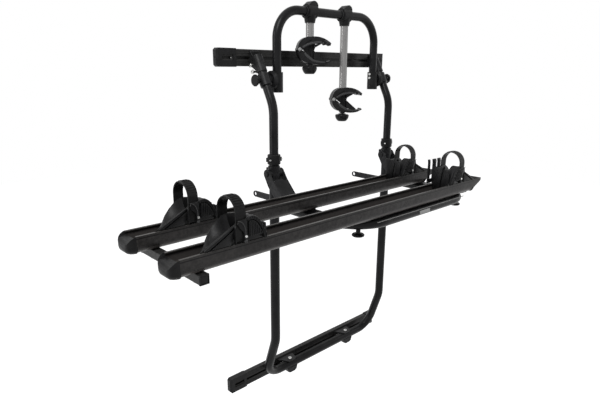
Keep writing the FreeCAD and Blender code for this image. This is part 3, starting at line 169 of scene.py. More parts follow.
def finish_group():
    """Colour and roughness of a used surface: tone drift, paler worn edges, dust on top."""
    tree, start, end = group_tree(
        "used_surface",
        [("Color", COLOR), ("Edge Color", COLOR), ("Dust Color", COLOR), ("Edge Wear", FLOAT),
         ("Dust", FLOAT), ("Drift", FLOAT), ("Roughness", FLOAT)],
        [("Color", COLOR), ("Roughness", FLOAT)])
    given = start.outputs
    place = object_place(tree)
    geometry = node(tree, "ShaderNodeNewGeometry")
    broad = noise_node(tree, place, *BROAD_NOISE)
    fine = noise_node(tree, place, *FINE_NOISE)
    scratch = noise_node(tree, place, *SCRATCH_NOISE)
    edge = math_node(tree, "MULTIPLY", ramp_node(tree, geometry.outputs["Pointiness"], *WORN_EDGE),
                     ramp_node(tree, scratch, *BROKEN_EDGE))
    edge = math_node(tree, "MULTIPLY", edge, given["Edge Wear"])
    split = node(tree, "ShaderNodeSeparateXYZ")
    link(tree, geometry.outputs["Normal"], split.inputs[0])
    specks = ramp_node(tree, math_node(tree, "MULTIPLY", broad, fine), *DUST_SPECKS)
    dust = math_node(tree, "MULTIPLY", ramp_node(tree, split.outputs["Z"], *FACING_UP), specks)
    dust = math_node(tree, "MULTIPLY", dust, given["Dust"])
    drift = math_node(tree, "MULTIPLY", ramp_node(tree, broad, *MIDDLE_TONES), given["Drift"])
    toned = mix_color(tree, drift, given["Color"], given["Edge Color"])
    toned = mix_color(tree, edge, toned, given["Edge Color"])
    toned = mix_color(tree, dust, toned, given["Dust Color"])
    link(tree, toned, end.inputs["Color"])
    swing = ramp_node(tree, fine, *FINE_TONES, -ROUGHNESS_SWING, ROUGHNESS_SWING)
    rough = math_node(tree, "ADD", given["Roughness"], swing)
    rough = math_node(tree, "ADD", rough, math_node(tree, "MULTIPLY", dust, DUST_ROUGHNESS))
    link(tree, rough, end.inputs["Roughness"])
    return tree


def grain_group():
    """Normal of a fine moulded or sprayed texture, its cell size and depth given."""
    tree, start, end = group_tree(
        "fine_grain", [("Scale", FLOAT), ("Depth", FLOAT)], [("Normal", VECTOR)])
    place = object_place(tree)
    cells = node(tree, "ShaderNodeTexVoronoi", feature="SMOOTH_F1")
    soft = node(tree, "ShaderNodeTexNoise")
    for texture in (cells, soft):
        link(tree, place, texture.inputs["Vector"])
        link(tree, start.outputs["Scale"], texture.inputs["Scale"])
    both = math_node(tree, "MULTIPLY", cells.outputs["Distance"], soft.outputs["Fac"])
    normal = bump_normal(tree, both, start.outputs["Depth"], GRAIN_HEIGHT)
    link(tree, normal, end.inputs["Normal"])
    return tree


def drawn_group():
    """Normal and mask of drawing lines that run along one axis of an extruded or brushed part."""
    tree, start, end = group_tree(
        "drawn_lines", [("Stretch", VECTOR), ("Depth", FLOAT)], [("Mask", FLOAT), ("Normal", VECTOR)])
    scaled = node(tree, "ShaderNodeVectorMath", operation="MULTIPLY")
    link(tree, object_place(tree), scaled.inputs[0])
    link(tree, start.outputs["Stretch"], scaled.inputs[1])
    lines = noise_node(tree, scaled.outputs[0], *LINE_NOISE)
    normal = bump_normal(tree, lines, start.outputs["Depth"], LINE_HEIGHT)
    link(tree, ramp_node(tree, lines, *MIDDLE_TONES), end.inputs["Mask"])
    link(tree, normal, end.inputs["Normal"])
    return tree


GROUPS = {"finish": finish_group(), "grain": grain_group(), "drawn": drawn_group()}


def group_node(tree, key):
    made = node(tree, "ShaderNodeGroup")
    made.node_tree = GROUPS[key]
    return made


# Finishes

def make_material(name, color, edge, rough, wear, dust, metallic=0.0, specular=0.3, drift=0.25,
                  grain=None, drawn=None):
    """Material of one finish: shared wear and dust, with either a grain or drawing lines.

    grain is (cells to the metre, depth); drawn is (stretch, depth, share of paler streaks).
    """
    material = bpy.data.materials.new(name)
    material.use_nodes = True
    tree = material.node_tree
    shader = tree.nodes["Principled BSDF"]
    shader.inputs["Metallic"].default_value = metallic
    shader.inputs["Specular IOR Level"].default_value = specular
    used = group_node(tree, "finish")
    used.inputs["Color"].default_value = (*color, 1)
    used.inputs["Edge Color"].default_value = (*edge, 1)
    used.inputs["Dust Color"].default_value = DUST_COLOR
    used.inputs["Edge Wear"].default_value = wear
    used.inputs["Dust"].default_value = dust
    used.inputs["Drift"].default_value = drift
    used.inputs["Roughness"].default_value = rough
    link(tree, used.outputs["Color"], shader.inputs["Base Color"])
    link(tree, used.outputs["Roughness"], shader.inputs["Roughness"])
    if grain:
        cells, depth = grain
        texture = group_node(tree, "grain")
        texture.inputs["Scale"].default_value = cells
        texture.inputs["Depth"].default_value = depth
        link(tree, texture.outputs["Normal"], shader.inputs["Normal"])
    if drawn:
        stretch, depth, streaks = drawn
        lines = group_node(tree, "drawn")
        lines.inputs["Stretch"].default_value = stretch
        lines.inputs["Depth"].default_value = depth
        link(tree, lines.outputs["Normal"], shader.inputs["Normal"])
        share = math_node(tree, "MULTIPLY", lines.outputs["Mask"], streaks)
        streaked = mix_color(tree, share, used.outputs["Color"], (*edge, 1))
        link(tree, streaked, shader.inputs["Base Color"])
    return material


# Heights and distances of the bike rails' channel in metres, each a short span to blend over
RAIL_MIDDLE = 0.382
RAIL_FROM_MIDDLE = 0.1
CHANNEL_SIDE = (0.0300, 0.0312)
CHANNEL_FLOOR_TOP = (0.7560, 0.7585)
LEDGE_BOTTOM = (0.7600, 0.7606)
LEDGE_TOP = (0.7626, 0.7632)
LIP_TOP = (0.7668, 0.7676)
# Painted light: the paler channel floor and lip tops stand in for light from above, and the near
# black ledge line stands in for shade under the lips
PAINTED_FLOOR_LIGHT_COLOR = (0.11, 0.101, 0.096, 1)
LIP_HIGHLIGHT_COLOR = (0.09, 0.086, 0.083, 1)
LEDGE_SHADE_COLOR = (0.002, 0.002, 0.002, 1)
LIP_HIGHLIGHT_SHARE = 0.8
LEDGE_SHADE_SHARE = 0.85


def paint_channel_light_and_shade(material):
    """Painted light and shade on both rails: a paler channel floor and paler lip tops as painted
    highlights, and a dark painted shade line under the lips.
    """
    tree = material.node_tree
    shader = tree.nodes["Principled BSDF"]
    split = node(tree, "ShaderNodeSeparateXYZ")
    link(tree, object_place(tree), split.inputs[0])
    height = split.outputs["Z"]
    across = split.outputs["Y"]
    for operation, shift in (("ADD", RAIL_MIDDLE), ("SUBTRACT", RAIL_FROM_MIDDLE)):
        across = math_node(tree, operation, across, shift, clamp=False)
        across = math_node(tree, "ABSOLUTE", across, 0.0, clamp=False)
    floor = math_node(tree, "MULTIPLY", ramp_node(tree, across, *CHANNEL_SIDE, 1.0, 0.0),
                      ramp_node(tree, height, *CHANNEL_FLOOR_TOP, 1.0, 0.0))
    lip = math_node(tree, "MULTIPLY", ramp_node(tree, height, *LIP_TOP), LIP_HIGHLIGHT_SHARE)
    ledge = math_node(tree, "MULTIPLY", ramp_node(tree, height, *LEDGE_BOTTOM),
                      ramp_node(tree, height, *LEDGE_TOP, 1.0, 0.0))
    ledge = math_node(tree, "MULTIPLY", ledge, LEDGE_SHADE_SHARE)
    color = shader.inputs["Base Color"].links[0].from_socket
    color = mix_color(tree, floor, color, PAINTED_FLOOR_LIGHT_COLOR)
    color = mix_color(tree, lip, color, LIP_HIGHLIGHT_COLOR)
    color = mix_color(tree, ledge, color, LEDGE_SHADE_COLOR)
    link(tree, color, shader.inputs["Base Color"])


POWDER_COAT = make_material(
    "black_powder_coat", (0.0045, 0.0045, 0.005), (0.035, 0.035, 0.037), rough=0.30,
    wear=0.25, dust=0.05, specular=0.13, grain=(1100.0, 0.16))
BRACKET_PAINT = make_material(
    "bracket_paint", (0.006, 0.006, 0.0065), (0.05, 0.05, 0.052), rough=0.36,
    wear=0.4, dust=0.06, specular=0.12, grain=(1400.0, 0.12))
ANODISED = make_material(
    "black_anodised", (0.007, 0.007, 0.007), (0.055, 0.054, 0.053), rough=0.33,
    wear=0.45, dust=0.06, specular=0.13, drawn=((0.9, 55.0, 55.0), 0.10, 0.25))
RAIL_METAL = make_material(
    "wheel_rail_metal", (0.010, 0.0093, 0.0092), (0.075, 0.070, 0.068), rough=0.36,
    wear=0.5, dust=0.05, specular=0.15, drawn=((0.5, 70.0, 70.0), 0.10, 0.16))
SILVER_TUBE = make_material(
    "brushed_silver", (0.22, 0.217, 0.215), (0.38, 0.375, 0.37), rough=0.30,
    wear=0.2, dust=0.03, metallic=0.5, specular=0.14, drift=0.1,
    drawn=((80.0, 80.0, 1.0), 0.06, 0.25))
ZINC = make_material(
    "bright_zinc", (0.50, 0.50, 0.49), (0.70, 0.70, 0.69), rough=0.28,
    wear=0.5, dust=0.05, metallic=1.0, drift=0.3, grain=(1800.0, 0.10))
MOULDED = make_material(
    "moulded_plastic", (0.005, 0.005, 0.0053), (0.034, 0.034, 0.035), rough=0.38,
    wear=0.3, dust=0.07, specular=0.13, grain=(2100.0, 0.22))
KNOB_PLASTIC = make_material(
    "knob_plastic", (0.0045, 0.0045, 0.005), (0.03, 0.03, 0.031), rough=0.34,
    wear=0.3, dust=0.05, specular=0.13, grain=(2400.0, 0.16))
LINER_PLASTIC = make_material(
    "liner_plastic", (0.035, 0.035, 0.036), (0.09, 0.09, 0.09), rough=0.5,
    wear=0.3, dust=0.08, specular=0.14, grain=(2000.0, 0.12))
# Paler copy of the black moulded plastic: a painted highlight on the claw rims and the holder seams
RIM_HIGHLIGHT_FINISH = make_material(
    "jaw_rim_painted_highlight", (0.05, 0.05, 0.051), (0.11, 0.11, 0.11), rough=0.44,
    wear=0.4, dust=0.10, specular=0.14, grain=(2000.0, 0.15))
STRAP_PLASTIC = make_material(
    "strap_plastic", (0.004, 0.004, 0.004), (0.03, 0.03, 0.03), rough=0.36,
    wear=0.35, dust=0.06, specular=0.10, grain=(1500.0, 0.14))
# Pale metal of the bare plate and the jaw rivets, also laid on the thin strip along the platform tube
# as a painted highlight
BARE_PLATE_AND_SEAM_HIGHLIGHT = make_material(
    "bare_plate", (0.30, 0.30, 0.295), (0.45, 0.45, 0.44), rough=0.42,
    wear=0.3, dust=0.12, metallic=0.35, specular=0.18, drift=0.2,
    drawn=((40.0, 3.0, 3.0), 0.06, 0.3))
# Painted highlights on the channel floor and lip tops, and painted shade under the lips, for both
# rails
paint_channel_light_and_shade(RAIL_METAL)

NODE_FINISHES = (
    (ANODISED, ("lower_door_rail", "upper_door_rail", "cross_bar")),
    (MOULDED, ("lower_rail_caps", "upper_rail_caps", "height_collars", "hoop_leg_clamps")),
    (POWDER_COAT, ("lower_frame_tube", "upper_tubes", "hoop_tube", "platform_tube")),
    (BRACKET_PAINT, ("lower_brackets", "top_brackets", "hoop_brackets", "platform_forks",
                     "hinge_collars", "hinge_pins", "stay_clips", "left_door_stay",
                     "right_door_stay", "rail_clamps")),
    (RAIL_METAL, ("front_bike_rail", "back_bike_rail", "platform_end_caps")),
    (ZINC, ("lower_frame_bolts", "top_bracket_bolts", "hoop_rivets", "cross_bar_bolts")),
    (KNOB_PLASTIC, ("left_hoop_knob", "right_hoop_knob", "left_rail_knob", "right_rail_knob")),
)
ARM_FINISHES = (
    (LINER_PLASTIC, ("_arm_liner",)),
    (MOULDED, ("_arm_clamp", "_upper_jaw", "_lower_jaw")),
    (SILVER_TUBE, ("_arm_tube",)),
    (BARE_PLATE_AND_SEAM_HIGHLIGHT, ("_jaw_rivet",)),
    (BRACKET_PAINT, ("_jaw_washer",)),
    (KNOB_PLASTIC, ("_claw_knob",)),
)
HOLDER_FINISHES = (
    (MOULDED, ("_cradle", "_buckle_lever")),
    (STRAP_PLASTIC, ("_strap",)),
)


def paint_nodes(finishes, owner=""):
    """Gives CAD nodes their finishes; owner is the arm or holder that their names begin with."""
    for finish, names in finishes:
        for name in names:
            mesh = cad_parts[owner + name].data
            mesh.materials.clear()
            mesh.materials.append(finish)


# Pieces are drawn in millimetres, in the place of their CAD node, and scaled once at the end.
# A holder's piece is drawn round the strap's origin: s along the rail, t across it, h up.

MM = 0.001
SMOOTH_LIMIT = math.radians(35)
EDGE = 0.8
LIP_LEVEL = 768
RAIL_LINES = {"front": -482, "back": -282}
# Place of the strap along the rail, and the way its ramp faces
HOLDER_ENDS = {"left": (-741, 1), "right": (195, -1)}
HOLDER_SPOTS = {rail + "_" + end: (x, way, y)
                for rail, y in RAIL_LINES.items() for end, (x, way) in HOLDER_ENDS.items()}

paint_nodes(NODE_FINISHES)
for arm in ("short", "long"):
    paint_nodes(ARM_FINISHES, arm)
for holder in HOLDER_SPOTS:
    paint_nodes(HOLDER_FINISHES, holder)


def new_face(bm, points):
    return bm.faces.new([bm.verts.new(point) for point in points])


def pushed(bm, face, way):
    """Extrudes a face into a closed block and returns the block's vertices."""
    first = list(face.verts)
    made = bmesh.ops.extrude_face_region(bm, geom=[face])
    moved = [item for item in made["geom"] if isinstance(item, bmesh.types.BMVert)]
    bmesh.ops.translate(bm, verts=moved, vec=way)
    return first + moved


def edges_of(verts):
    inside = set(verts)
    return [edge for vert in verts for edge in vert.link_edges if edge.other_vert(vert) in inside]


def rounded(bm, edges, size):
    bmesh.ops.bevel(bm, geom=list(set(edges)), offset=size, offset_type="OFFSET", segments=2,
                    profile=0.5, affect="EDGES", clamp_overlap=True, material=-1)


def side_plate(bm, outline, t0, t1, edge=EDGE):
    """Block with an outline along the rail and up, between two places across it."""
    verts = pushed(bm, new_face(bm, [(s, t0, h) for s, h in outline]), (0, t1 - t0, 0))
    rounded(bm, edges_of(verts), edge)


def cross_plate(bm, outline, s0, s1, edge=EDGE):
    """Block with an outline across the rail and up, between two places along it."""
    verts = pushed(bm, new_face(bm, [(s0, t, h) for t, h in outline]), (s1 - s0, 0, 0))
    rounded(bm, edges_of(verts), edge)


def block(bm, low, high, edge=EDGE):
    outline = [(low[0], low[2]), (high[0], low[2]), (high[0], high[2]), (low[0], high[2])]
    side_plate(bm, outline, low[1], high[1], edge)


def finished(bm, name, material, body):
    """Turns the drawn piece into an object that rides with its body."""
    bmesh.ops.scale(bm, vec=(MM, MM, MM), verts=bm.verts)
    bmesh.ops.recalc_face_normals(bm, faces=bm.faces)
    for face in bm.faces:
        face.smooth = True
    for edge in bm.edges:
        edge.smooth = len(edge.link_faces) == 2 and edge.calc_face_angle(0) < SMOOTH_LIMIT
    mesh = bpy.data.meshes.new(name)
    bm.to_mesh(mesh)
    bm.free()
    mesh.materials.append(material)
    piece = bpy.data.objects.new(name, mesh)
    bpy.context.scene.collection.objects.link(piece)
    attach(piece, body)
    return piece


# Wheel holders

NEAR_CHEEK = [(-92, 2), (-92, 5), (-4, 49), (12, 56), (12, 2)]
NEAR_RIDGE = [(-94, 2), (-94, 4.5), (-4, 50), (-4, 45.5), (-84, 3)]
NEAR_RIB = [(-76, 2), (-14, 36), (-12, 30), (-26, 2)]
FAR_CHEEK = [(-53, 0.6), (-51, 3), (-44, 16), (-30, 33), (-14, 45), (-9, 47), (-8, 52), (0, 53),
             (2, 55), (14, 56), (44, 52), (62, 44), (68, 34), (71, 0.6)]


def draw_cheeks(bm):
    """Near cheek, its ridge and rib with a long slit between them, far cheek, and the skirts."""
    side_plate(bm, NEAR_CHEEK, -29, -25)
    side_plate(bm, NEAR_RIDGE, -33.5, -28)
    side_plate(bm, NEAR_RIB, -34.2, -28.5)
    side_plate(bm, FAR_CHEEK, 28, 34)
    block(bm, (-88, -28, -25), (68, -24, 2))
    block(bm, (-50, 24, -25), (68, 28, 2))


TROUGH_HALF = 29
TROUGH_FOOT = -2
TROUGH_FLOOR = -22
TROUGH_WALL = 2.0
NEAR_START, NEAR_RUN, NEAR_RISE = -108, 112, 56
FAR_START, FAR_RUN, FAR_RISE = -56, 62, 58
FAR_CURVE = 0.9
SAG, SAG_GROWTH = 14, 22
SAG_AT_FOOT, SAG_ONSET = 0.25, 3


def trough_point(u, v):
    """Point of the wheel trough: u runs up the ramp, v from the near ridge to the far edge."""
    bend = math.sin(u * math.pi / 2) ** FAR_CURVE
    near = Vector((NEAR_START + NEAR_RUN * u, -TROUGH_HALF, TROUGH_FOOT + NEAR_RISE * u))
    far = Vector((FAR_START + FAR_RUN * u, TROUGH_HALF, TROUGH_FOOT + FAR_RISE * bend))
    point = near.lerp(far, v)
    sag = (SAG + SAG_GROWTH * u) * min(1, SAG_ONSET * u + SAG_AT_FOOT)
    point.z = max(point.z - sag * (1 - (2 * v - 1) ** 2), TROUGH_FLOOR)
    return point


def draw_trough(bm):
    bmesh.ops.create_grid(bm, x_segments=24, y_segments=14, size=0.5)
    for vert in bm.verts:
        vert.co = trough_point(vert.co.x + 0.5, vert.co.y + 0.5)
    bmesh.ops.solidify(bm, geom=bm.faces[:], thickness=TROUGH_WALL)


HOOD_LINE = [(12, 57), (17, 61), (24, 63), (32, 62), (42, 56), (52, 44), (60, 30), (66, 15), (69, 3)]
HOOD_INNER_LINE = [(61, 3), (54, 26), (46, 40), (38, 49), (30, 54.5), (22, 55.5), (12, 53)]
# Place along the rail, lower and upper end of each rib of the hood
HOOD_RIBS = ((20, 57, 62.6), (26, 57, 62.8), (32, 54.5, 61), (38, 50, 57.6), (44, 43.5, 52.6),
             (50, 35, 45), (56, 23, 35.5), (61, 8, 26), (65, 5, 16))


def draw_hood(bm):
    """Round hood over the ratchet, with a ribbed rim where the lever leaves it bare."""
    side_plate(bm, [(12, 3)] + HOOD_LINE, -37.5, -14, edge=4.0)
    rim = [(s, h + 1) for s, h in HOOD_LINE]
    side_plate(bm, rim + HOOD_INNER_LINE, -46, -36, edge=2.0)
    for s, low, high in HOOD_RIBS:
        block(bm, (s, -47.4, low), (s + 1.4, -45, high), 0.4)


GUIDE_PLATE = [(-8, 40), (-12, 50), (-8, 56), (14, 58), (14, 3), (6, 3), (4, 28)]
GUIDE_POST = [(-17, 3), (-17, 44), (-15, 46), (-15, 3)]


def draw_guide(bm):
    """Strap guide at the ratchet, recessed beside the ramp, and the strap's block behind it."""
    side_plate(bm, GUIDE_PLATE, -43, -34, edge=1.6)
    side_plate(bm, GUIDE_POST, -40, -33)
    block(bm, (-19, 33, 4), (19, 42, 34), 2.0)


SEAM_LINE = [(-13, 57), (-3, 52), (3, 44), (6, 34), (7, 24), (6, 14), (9, 4)]


def draw_seam(bm):
    """Raised bead that closes the hood against the ramp, down to its link on the lip."""
    other_side = [(s + 2.4, h + 1) for s, h in reversed(SEAM_LINE)]
    side_plate(bm, SEAM_LINE + other_side, -44.6, -42.6, edge=0.7)
    block(bm, (4, -46, 3), (12, -42, 9), 1.2)


LEVER_OUTLINE = [(17.4, 15), (17.4, 53), (28, 54), (37, 48), (45, 39), (53, 25), (56.6, 15)]
GRIP_RIB_TOPS = (51, 52, 50, 45.5, 39, 31, 22)
GRIP_START = 19.5
GRIP_PITCH = 5.3


def draw_lever(bm):
    """Ratchet lever that fills the hood's opening, its upright grip ribs ending under the arch."""
    side_plate(bm, LEVER_OUTLINE, -44.6, -40, edge=1.4)
    for index, top in enumerate(GRIP_RIB_TOPS):
        s = GRIP_START + GRIP_PITCH * index
        block(bm, (s, -46.4, 17), (s + 2.6, -44, top), 0.6)


RIVET_PLACE = (9, -44.2, 18)
RIVET_RADIUS = 3.6
RIVET_LENGTH = 3
RIVET_SIDES = 20


def draw_rivet(bm):
    """Rivet head that faces the near side, its rims rounded."""
    turn = Matrix.Rotation(math.radians(90), 4, "X")
    made = bmesh.ops.create_cone(
        bm, cap_ends=True, segments=RIVET_SIDES, radius1=RIVET_RADIUS, radius2=RIVET_RADIUS * 0.8,
        depth=RIVET_LENGTH, matrix=Matrix.Translation(RIVET_PLACE) @ turn)
    rims = [edge for edge in edges_of(made["verts"]) if len(edge.link_faces) == 2
            and any(len(face.verts) > 4 for face in edge.link_faces)]
    rounded(bm, rims, RIVET_RADIUS * 0.2)


PLANK_FOOT = -22
PLANK_TOPS = {"left": 40, "right": 60}
RIDGES_PER_PLANK = 5
# First ridge across the rail, pitch, place along it, and gap below the plank's top
PLANK_RIDGES = ((-27, 3.2, 74.6, 9), (8, 3.8, 72.6, 6))


def draw_planks(bm, top):
    """Two upright ridged boards that close the steep end, a slanted slot between them."""
    cross_plate(bm, [(3, PLANK_FOOT), (28, PLANK_FOOT), (28, 0.6), (33, 0.6), (33, top),
                     (-8, top - 1)], 68, 73)
    cross_plate(bm, [(-28, PLANK_FOOT), (-1, PLANK_FOOT), (-13, top - 4), (-33, top - 5),
                     (-33, 0.6), (-28, 0.6)], 70, 75)
    for start, pitch, face, gap in PLANK_RIDGES:
        for index in range(RIDGES_PER_PLANK):
            t = start + pitch * index
            block(bm, (face, t, -20), (face + 1, t + 1, top - gap), 0.3)


# Middle, half width and top of each prong
PRONGS = ((89, 5.5, 84), (57, 10, 83), (28.5, 8.5, 83))


def draw_prongs(bm):
    """Three pronged strap guide on the far side of the front right holder."""
    block(bm, (18.5, 34, 2), (95, 39, 16))
    for s, half, top in PRONGS:
        side_plate(bm, [(s + half, 10), (s + half - 1, 70), (s + half + 1.5, top),
                        (s - half + 3, top), (s - half, top - 9), (s - half, 10)], 34, 39)
        side_plate(bm, [(s + 1, 20), (s + 1, top - 6), (s - 1, top - 6), (s - 1, 20)],
                   32.8, 34.4, 0.3)


def holder_piece(holder, part, draw, material, body="_holder", stands_for="_cradle"):
    """Draws a piece at its holder, in the place of a CAD node; right holders are mirrored."""
    x, way, y = HOLDER_SPOTS[holder]
    bm = bmesh.new()
    draw(bm)
    bmesh.ops.scale(bm, vec=(way, 1, 1), verts=bm.verts)
    bmesh.ops.translate(bm, vec=(x, y, LIP_LEVEL), verts=bm.verts)
    piece = finished(bm, holder + "_" + part, material, holder + body)
    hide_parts(holder + stands_for)


def build_holder(holder):
    top = PLANK_TOPS[holder.split("_")[1]]
    holder_piece(holder, "cheeks", draw_cheeks, MOULDED)
    holder_piece(holder, "trough", draw_trough, MOULDED)
    holder_piece(holder, "hood", draw_hood, MOULDED)
    holder_piece(holder, "guide", draw_guide, MOULDED)
    # The seam bead takes the paler rim finish as a painted highlight along its edge
    holder_piece(holder, "seam", draw_seam, RIM_HIGHLIGHT_FINISH)
    holder_piece(holder, "rivet", draw_rivet, ZINC)
    holder_piece(holder, "end_planks", lambda bm: draw_planks(bm, top), MOULDED)
    holder_piece(holder, "ribbed_lever", draw_lever, MOULDED, "_lever", "_buckle_lever")
    if holder == "front_right":
        holder_piece(holder, "prongs", draw_prongs, KNOB_PLASTIC)


for holder in HOLDER_SPOTS:
    build_holder(holder)


# Ends of the bike rails and caps of the cross bar, all for the platform_end_caps node.
# Each step of an end: x, half width, top, bottom, corner radius and dip of the top.

NOSE_STEPS = ((-892, 33, 768, 722, 14, 9), (-898, 32.8, 766.6, 722.2, 15, 8),
              (-905, 31.6, 763, 723, 16, 5), (-911, 29, 757.5, 725, 15, 2),
              (-915, 24, 751, 729, 11, 0), (-917, 15, 745, 734, 5, 0))
TAIL_STEPS = ((295, 33, 768, 722, 14, 34), (298, 33, 768, 724, 14, 33),
              (306, 33, 768, 731, 13, 30), (322, 33, 768, 739, 12, 20),
              (338, 33, 768, 747, 10, 9), (345, 32.6, 767.6, 753, 6, 3),
              (348, 31.5, 766.6, 759, 3, 0))
# Bull nosed caps, and tails whose floor sweeps up to a rounded tip
RAIL_ENDS = (("nose", NOSE_STEPS, MOULDED), ("tail", TAIL_STEPS, RAIL_METAL))
CORNER_STEPS = 5
DIP_SHARE = 0.92


def channel_ring(x, half, top, bottom, corner, dip, y):
    """Round bottomed outline across the rail with a dip in its top, as points in space."""
    points = [(x, y - half, top)]
    for side in (-1, 1):
        for step in range(CORNER_STEPS + 1):
            angle = math.radians(90 / CORNER_STEPS * step)
            turn = angle if side < 0 else math.radians(90) - angle
            points.append((x, y + side * (half - corner + corner * math.cos(turn)),
                           bottom + corner - corner * math.sin(turn)))
    points.append((x, y + half, top))
    points.append((x, y + half * DIP_SHARE, top - dip))
    points.append((x, y - half * DIP_SHARE, top - dip))
    return points


def draw_rail_end(bm, steps, y):
    """Closed shape through a row of channel outlines."""
    rings = []
    for step in steps:
        face = new_face(bm, channel_ring(*step, y))
        rings.append((face, list(face.edges)))
    for first, second in zip(rings, rings[1:]):
        bmesh.ops.bridge_loops(bm, edges=first[1] + second[1])
    inner_faces = [face for face, _edges in rings[1:-1]]
    bmesh.ops.delete(bm, geom=inner_faces, context="FACES_ONLY")


BAR_CAP_OUTLINE = [(-851.5, 697.5), (-826.5, 697.5), (-826.5, 722), (-851.5, 722)]
BAR_CAP_DEPTH = 5
BAR_CAP_POSTS = ((-851, -848.6), (-829.4, -827))
BAR_CAP_RUNGS = (698, 719.2)
# y of each end of the bar and the way that it faces
BAR_ENDS = (("front", -512, -1), ("back", -245, 1))


def draw_bar_cap(bm, y, way):
    """Square cap with a raised rim round its hollow face."""
    low, high = sorted((y, y + way * BAR_CAP_DEPTH))
    side_plate(bm, BAR_CAP_OUTLINE, low, high, 1.5)
    low, high = sorted((y + way * 4.6, y + way * 6.2))
    for left, right in BAR_CAP_POSTS:
        block(bm, (left, low, 698), (right, high, 721.5), 0.5)
    for level in BAR_CAP_RUNGS:
        block(bm, (-850, low, level), (-828, high, level + 2.3), 0.5)


for side, y in RAIL_LINES.items():
    for part, steps, finish in RAIL_ENDS:
        bm = bmesh.new()
        draw_rail_end(bm, steps, y)
        piece = finished(bm, side + "_rail_" + part, finish, "platform")
        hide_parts("platform_end_caps")
for side, y, way in BAR_ENDS:
    bm = bmesh.new()
    draw_bar_cap(bm, y, way)
    piece = finished(bm, side + "_bar_cap", MOULDED, "platform")
    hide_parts("platform_end_caps")


# Claws: inner rims on both faces of each jaw, paler than the jaw as a painted highlight, drawn in the
# claw's own plane

CLAW_SPOTS = {"short": (-99, 1213), "long": (76, 1038)}
HOOP_LINE = -64
CLAW_TURN = Matrix.Rotation(math.radians(-30), 3, "Z")
RIM_FACES = (17.4, 19.0)
UPPER_RIM = [(-28, 3.5), (-12, 13), (4, 17.5), (22, 20), (38, 20.5), (37, 27), (20, 27), (0, 24),
             (-16, 18), (-30, 9)]
LOWER_RIM = [(-22, -8.5), (-8, -20.5), (10, -33.5), (30, -38.8), (52, -40), (51, -45), (30, -45),
             (6, -40.5), (-14, -27), (-24, -15)]
TIP_RIM = [(44, 29), (56, 31), (66, 27), (71, 20), (69, 16), (62, 22), (54, 26)]
JAW_RIMS = (("upper_rim_highlight", (UPPER_RIM, TIP_RIM), "_claw"), ("lower_rim_highlight", (LOWER_RIM,), "_jaw"))


def draw_rims(bm, outlines, arm):
    for outline in outlines:
        for side in (-1, 1):
            low, high = sorted(side * face for face in RIM_FACES)
            side_plate(bm, outline, low, high, 0.6)
    x, level = CLAW_SPOTS[arm]
    bmesh.ops.rotate(bm, cent=(0, 0, 0), matrix=CLAW_TURN, verts=bm.verts)
    bmesh.ops.translate(bm, vec=(x, HOOP_LINE, level), verts=bm.verts)


for arm in CLAW_SPOTS:
    for part, outlines, body in JAW_RIMS:
        bm = bmesh.new()
        draw_rims(bm, outlines, arm)
        finished(bm, arm + "_" + part, RIM_HIGHLIGHT_FINISH, arm + body)


# Platform tube: a thin bright strip along it as a painted highlight, and the bare plate at its right
# end

TUBE_TRIM = (("tube_seam_highlight", (-240, -508.4, 711.4), (246, -505, 712.8), 0.3),
             ("bare_plate", (-28, -511.4, 696), (28, -509.2, 708.5), 0.6))

# The tube seam strip is a painted highlight; the plate is bare metal
for name, low, high, edge in TUBE_TRIM:
    bm = bmesh.new()
    block(bm, low, high, edge)
    finished(bm, name, BARE_PLATE_AND_SEAM_HIGHLIGHT, "platform")


# Camera, world, floor and lamps

def make_camera():
    data = bpy.data.cameras.new("camera")
    data.sensor_width = SENSOR_WIDTH
    data.lens = FOCAL_PIXELS * SENSOR_WIDTH / FRAME_WIDTH
    data.clip_end = VIEW_DEPTH
    camera = bpy.data.objects.new("camera", data)
    bpy.context.scene.collection.objects.link(camera)
    turn = (Matrix.Rotation(-math.radians(CAMERA_YAW), 4, "Z")
            @ Matrix.Rotation(math.radians(90 - CAMERA_PITCH), 4, "X")
            @ Matrix.Rotation(math.radians(CAMERA_ROLL), 4, "Z"))
    camera.matrix_world = Matrix.Translation(CAMERA_PLACE) @ turn
    bpy.context.scene.camera = camera


def background_rays(tree):
    """1 for rays that show the background: straight from the camera, mirrored or through glass."""
    path = node(tree, "ShaderNodeLightPath")
    seen = math_node(tree, "MAXIMUM", path.outputs["Is Camera Ray"], path.outputs["Is Glossy Ray"])
    return math_node(tree, "MAXIMUM", seen, path.outputs["Is Transmission Ray"])


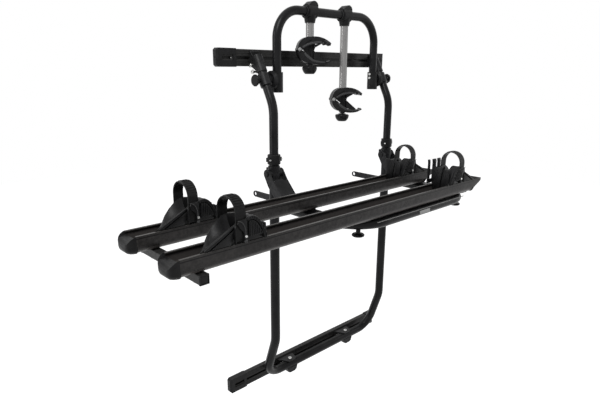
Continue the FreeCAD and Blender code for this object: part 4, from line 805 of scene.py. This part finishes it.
def make_world():
    """Soft pale studio whose background reads as plain white."""
    scene = bpy.context.scene
    scene.view_settings.view_transform = "Standard"
    world = bpy.data.worlds.new("studio")
    scene.world = world
    world.use_nodes = True
    tree = world.node_tree
    soft = tree.nodes["Background"]
    soft.inputs["Color"].default_value = WORLD_TONE
    soft.inputs["Strength"].default_value = WORLD_LIGHT
    bright = node(tree, "ShaderNodeBackground")
    bright.inputs["Color"].default_value = WHITE
    blend = node(tree, "ShaderNodeMixShader")
    link(tree, background_rays(tree), blend.inputs[0])
    link(tree, soft.outputs[0], blend.inputs[1])
    link(tree, bright.outputs[0], blend.inputs[2])
    link(tree, blend.outputs[0], tree.nodes["World Output"].inputs["Surface"])


def make_floor():
    """Plain pale floor that glows white where the camera sees it."""
    bm = bmesh.new()
    bmesh.ops.create_grid(bm, x_segments=1, y_segments=1, size=FLOOR_HALF)
    bmesh.ops.translate(bm, verts=bm.verts, vec=(0, 0, FLOOR_LEVEL))
    mesh = bpy.data.meshes.new("floor")
    bm.to_mesh(mesh)
    bm.free()
    floor = bpy.data.objects.new("floor", mesh)
    bpy.context.scene.collection.objects.link(floor)
    material = bpy.data.materials.new("pale_floor")
    material.use_nodes = True
    tree = material.node_tree
    shader = tree.nodes["Principled BSDF"]
    shader.inputs["Base Color"].default_value = FLOOR_TONE
    shader.inputs["Roughness"].default_value = FLOOR_ROUGHNESS
    glow = math_node(tree, "MULTIPLY", background_rays(tree), FLOOR_GLOW)
    shader.inputs["Emission Color"].default_value = WHITE
    link(tree, glow, shader.inputs["Emission Strength"])
    mesh.materials.append(material)


def area_light(name, place, aim, width, height, power):
    data = bpy.data.lights.new(name, "AREA")
    data.shape = "RECTANGLE"
    data.size = width
    data.size_y = height
    data.energy = power
    lamp = bpy.data.objects.new(name, data)
    bpy.context.scene.collection.objects.link(lamp)
    direction = Vector(aim) - Vector(place)
    turn = direction.to_track_quat("-Z", "Y").to_matrix().to_4x4()
    lamp.matrix_world = Matrix.Translation(place) @ turn


make_camera()
make_world()
make_floor()
for lamp in LAMPS:
    area_light(*lamp)
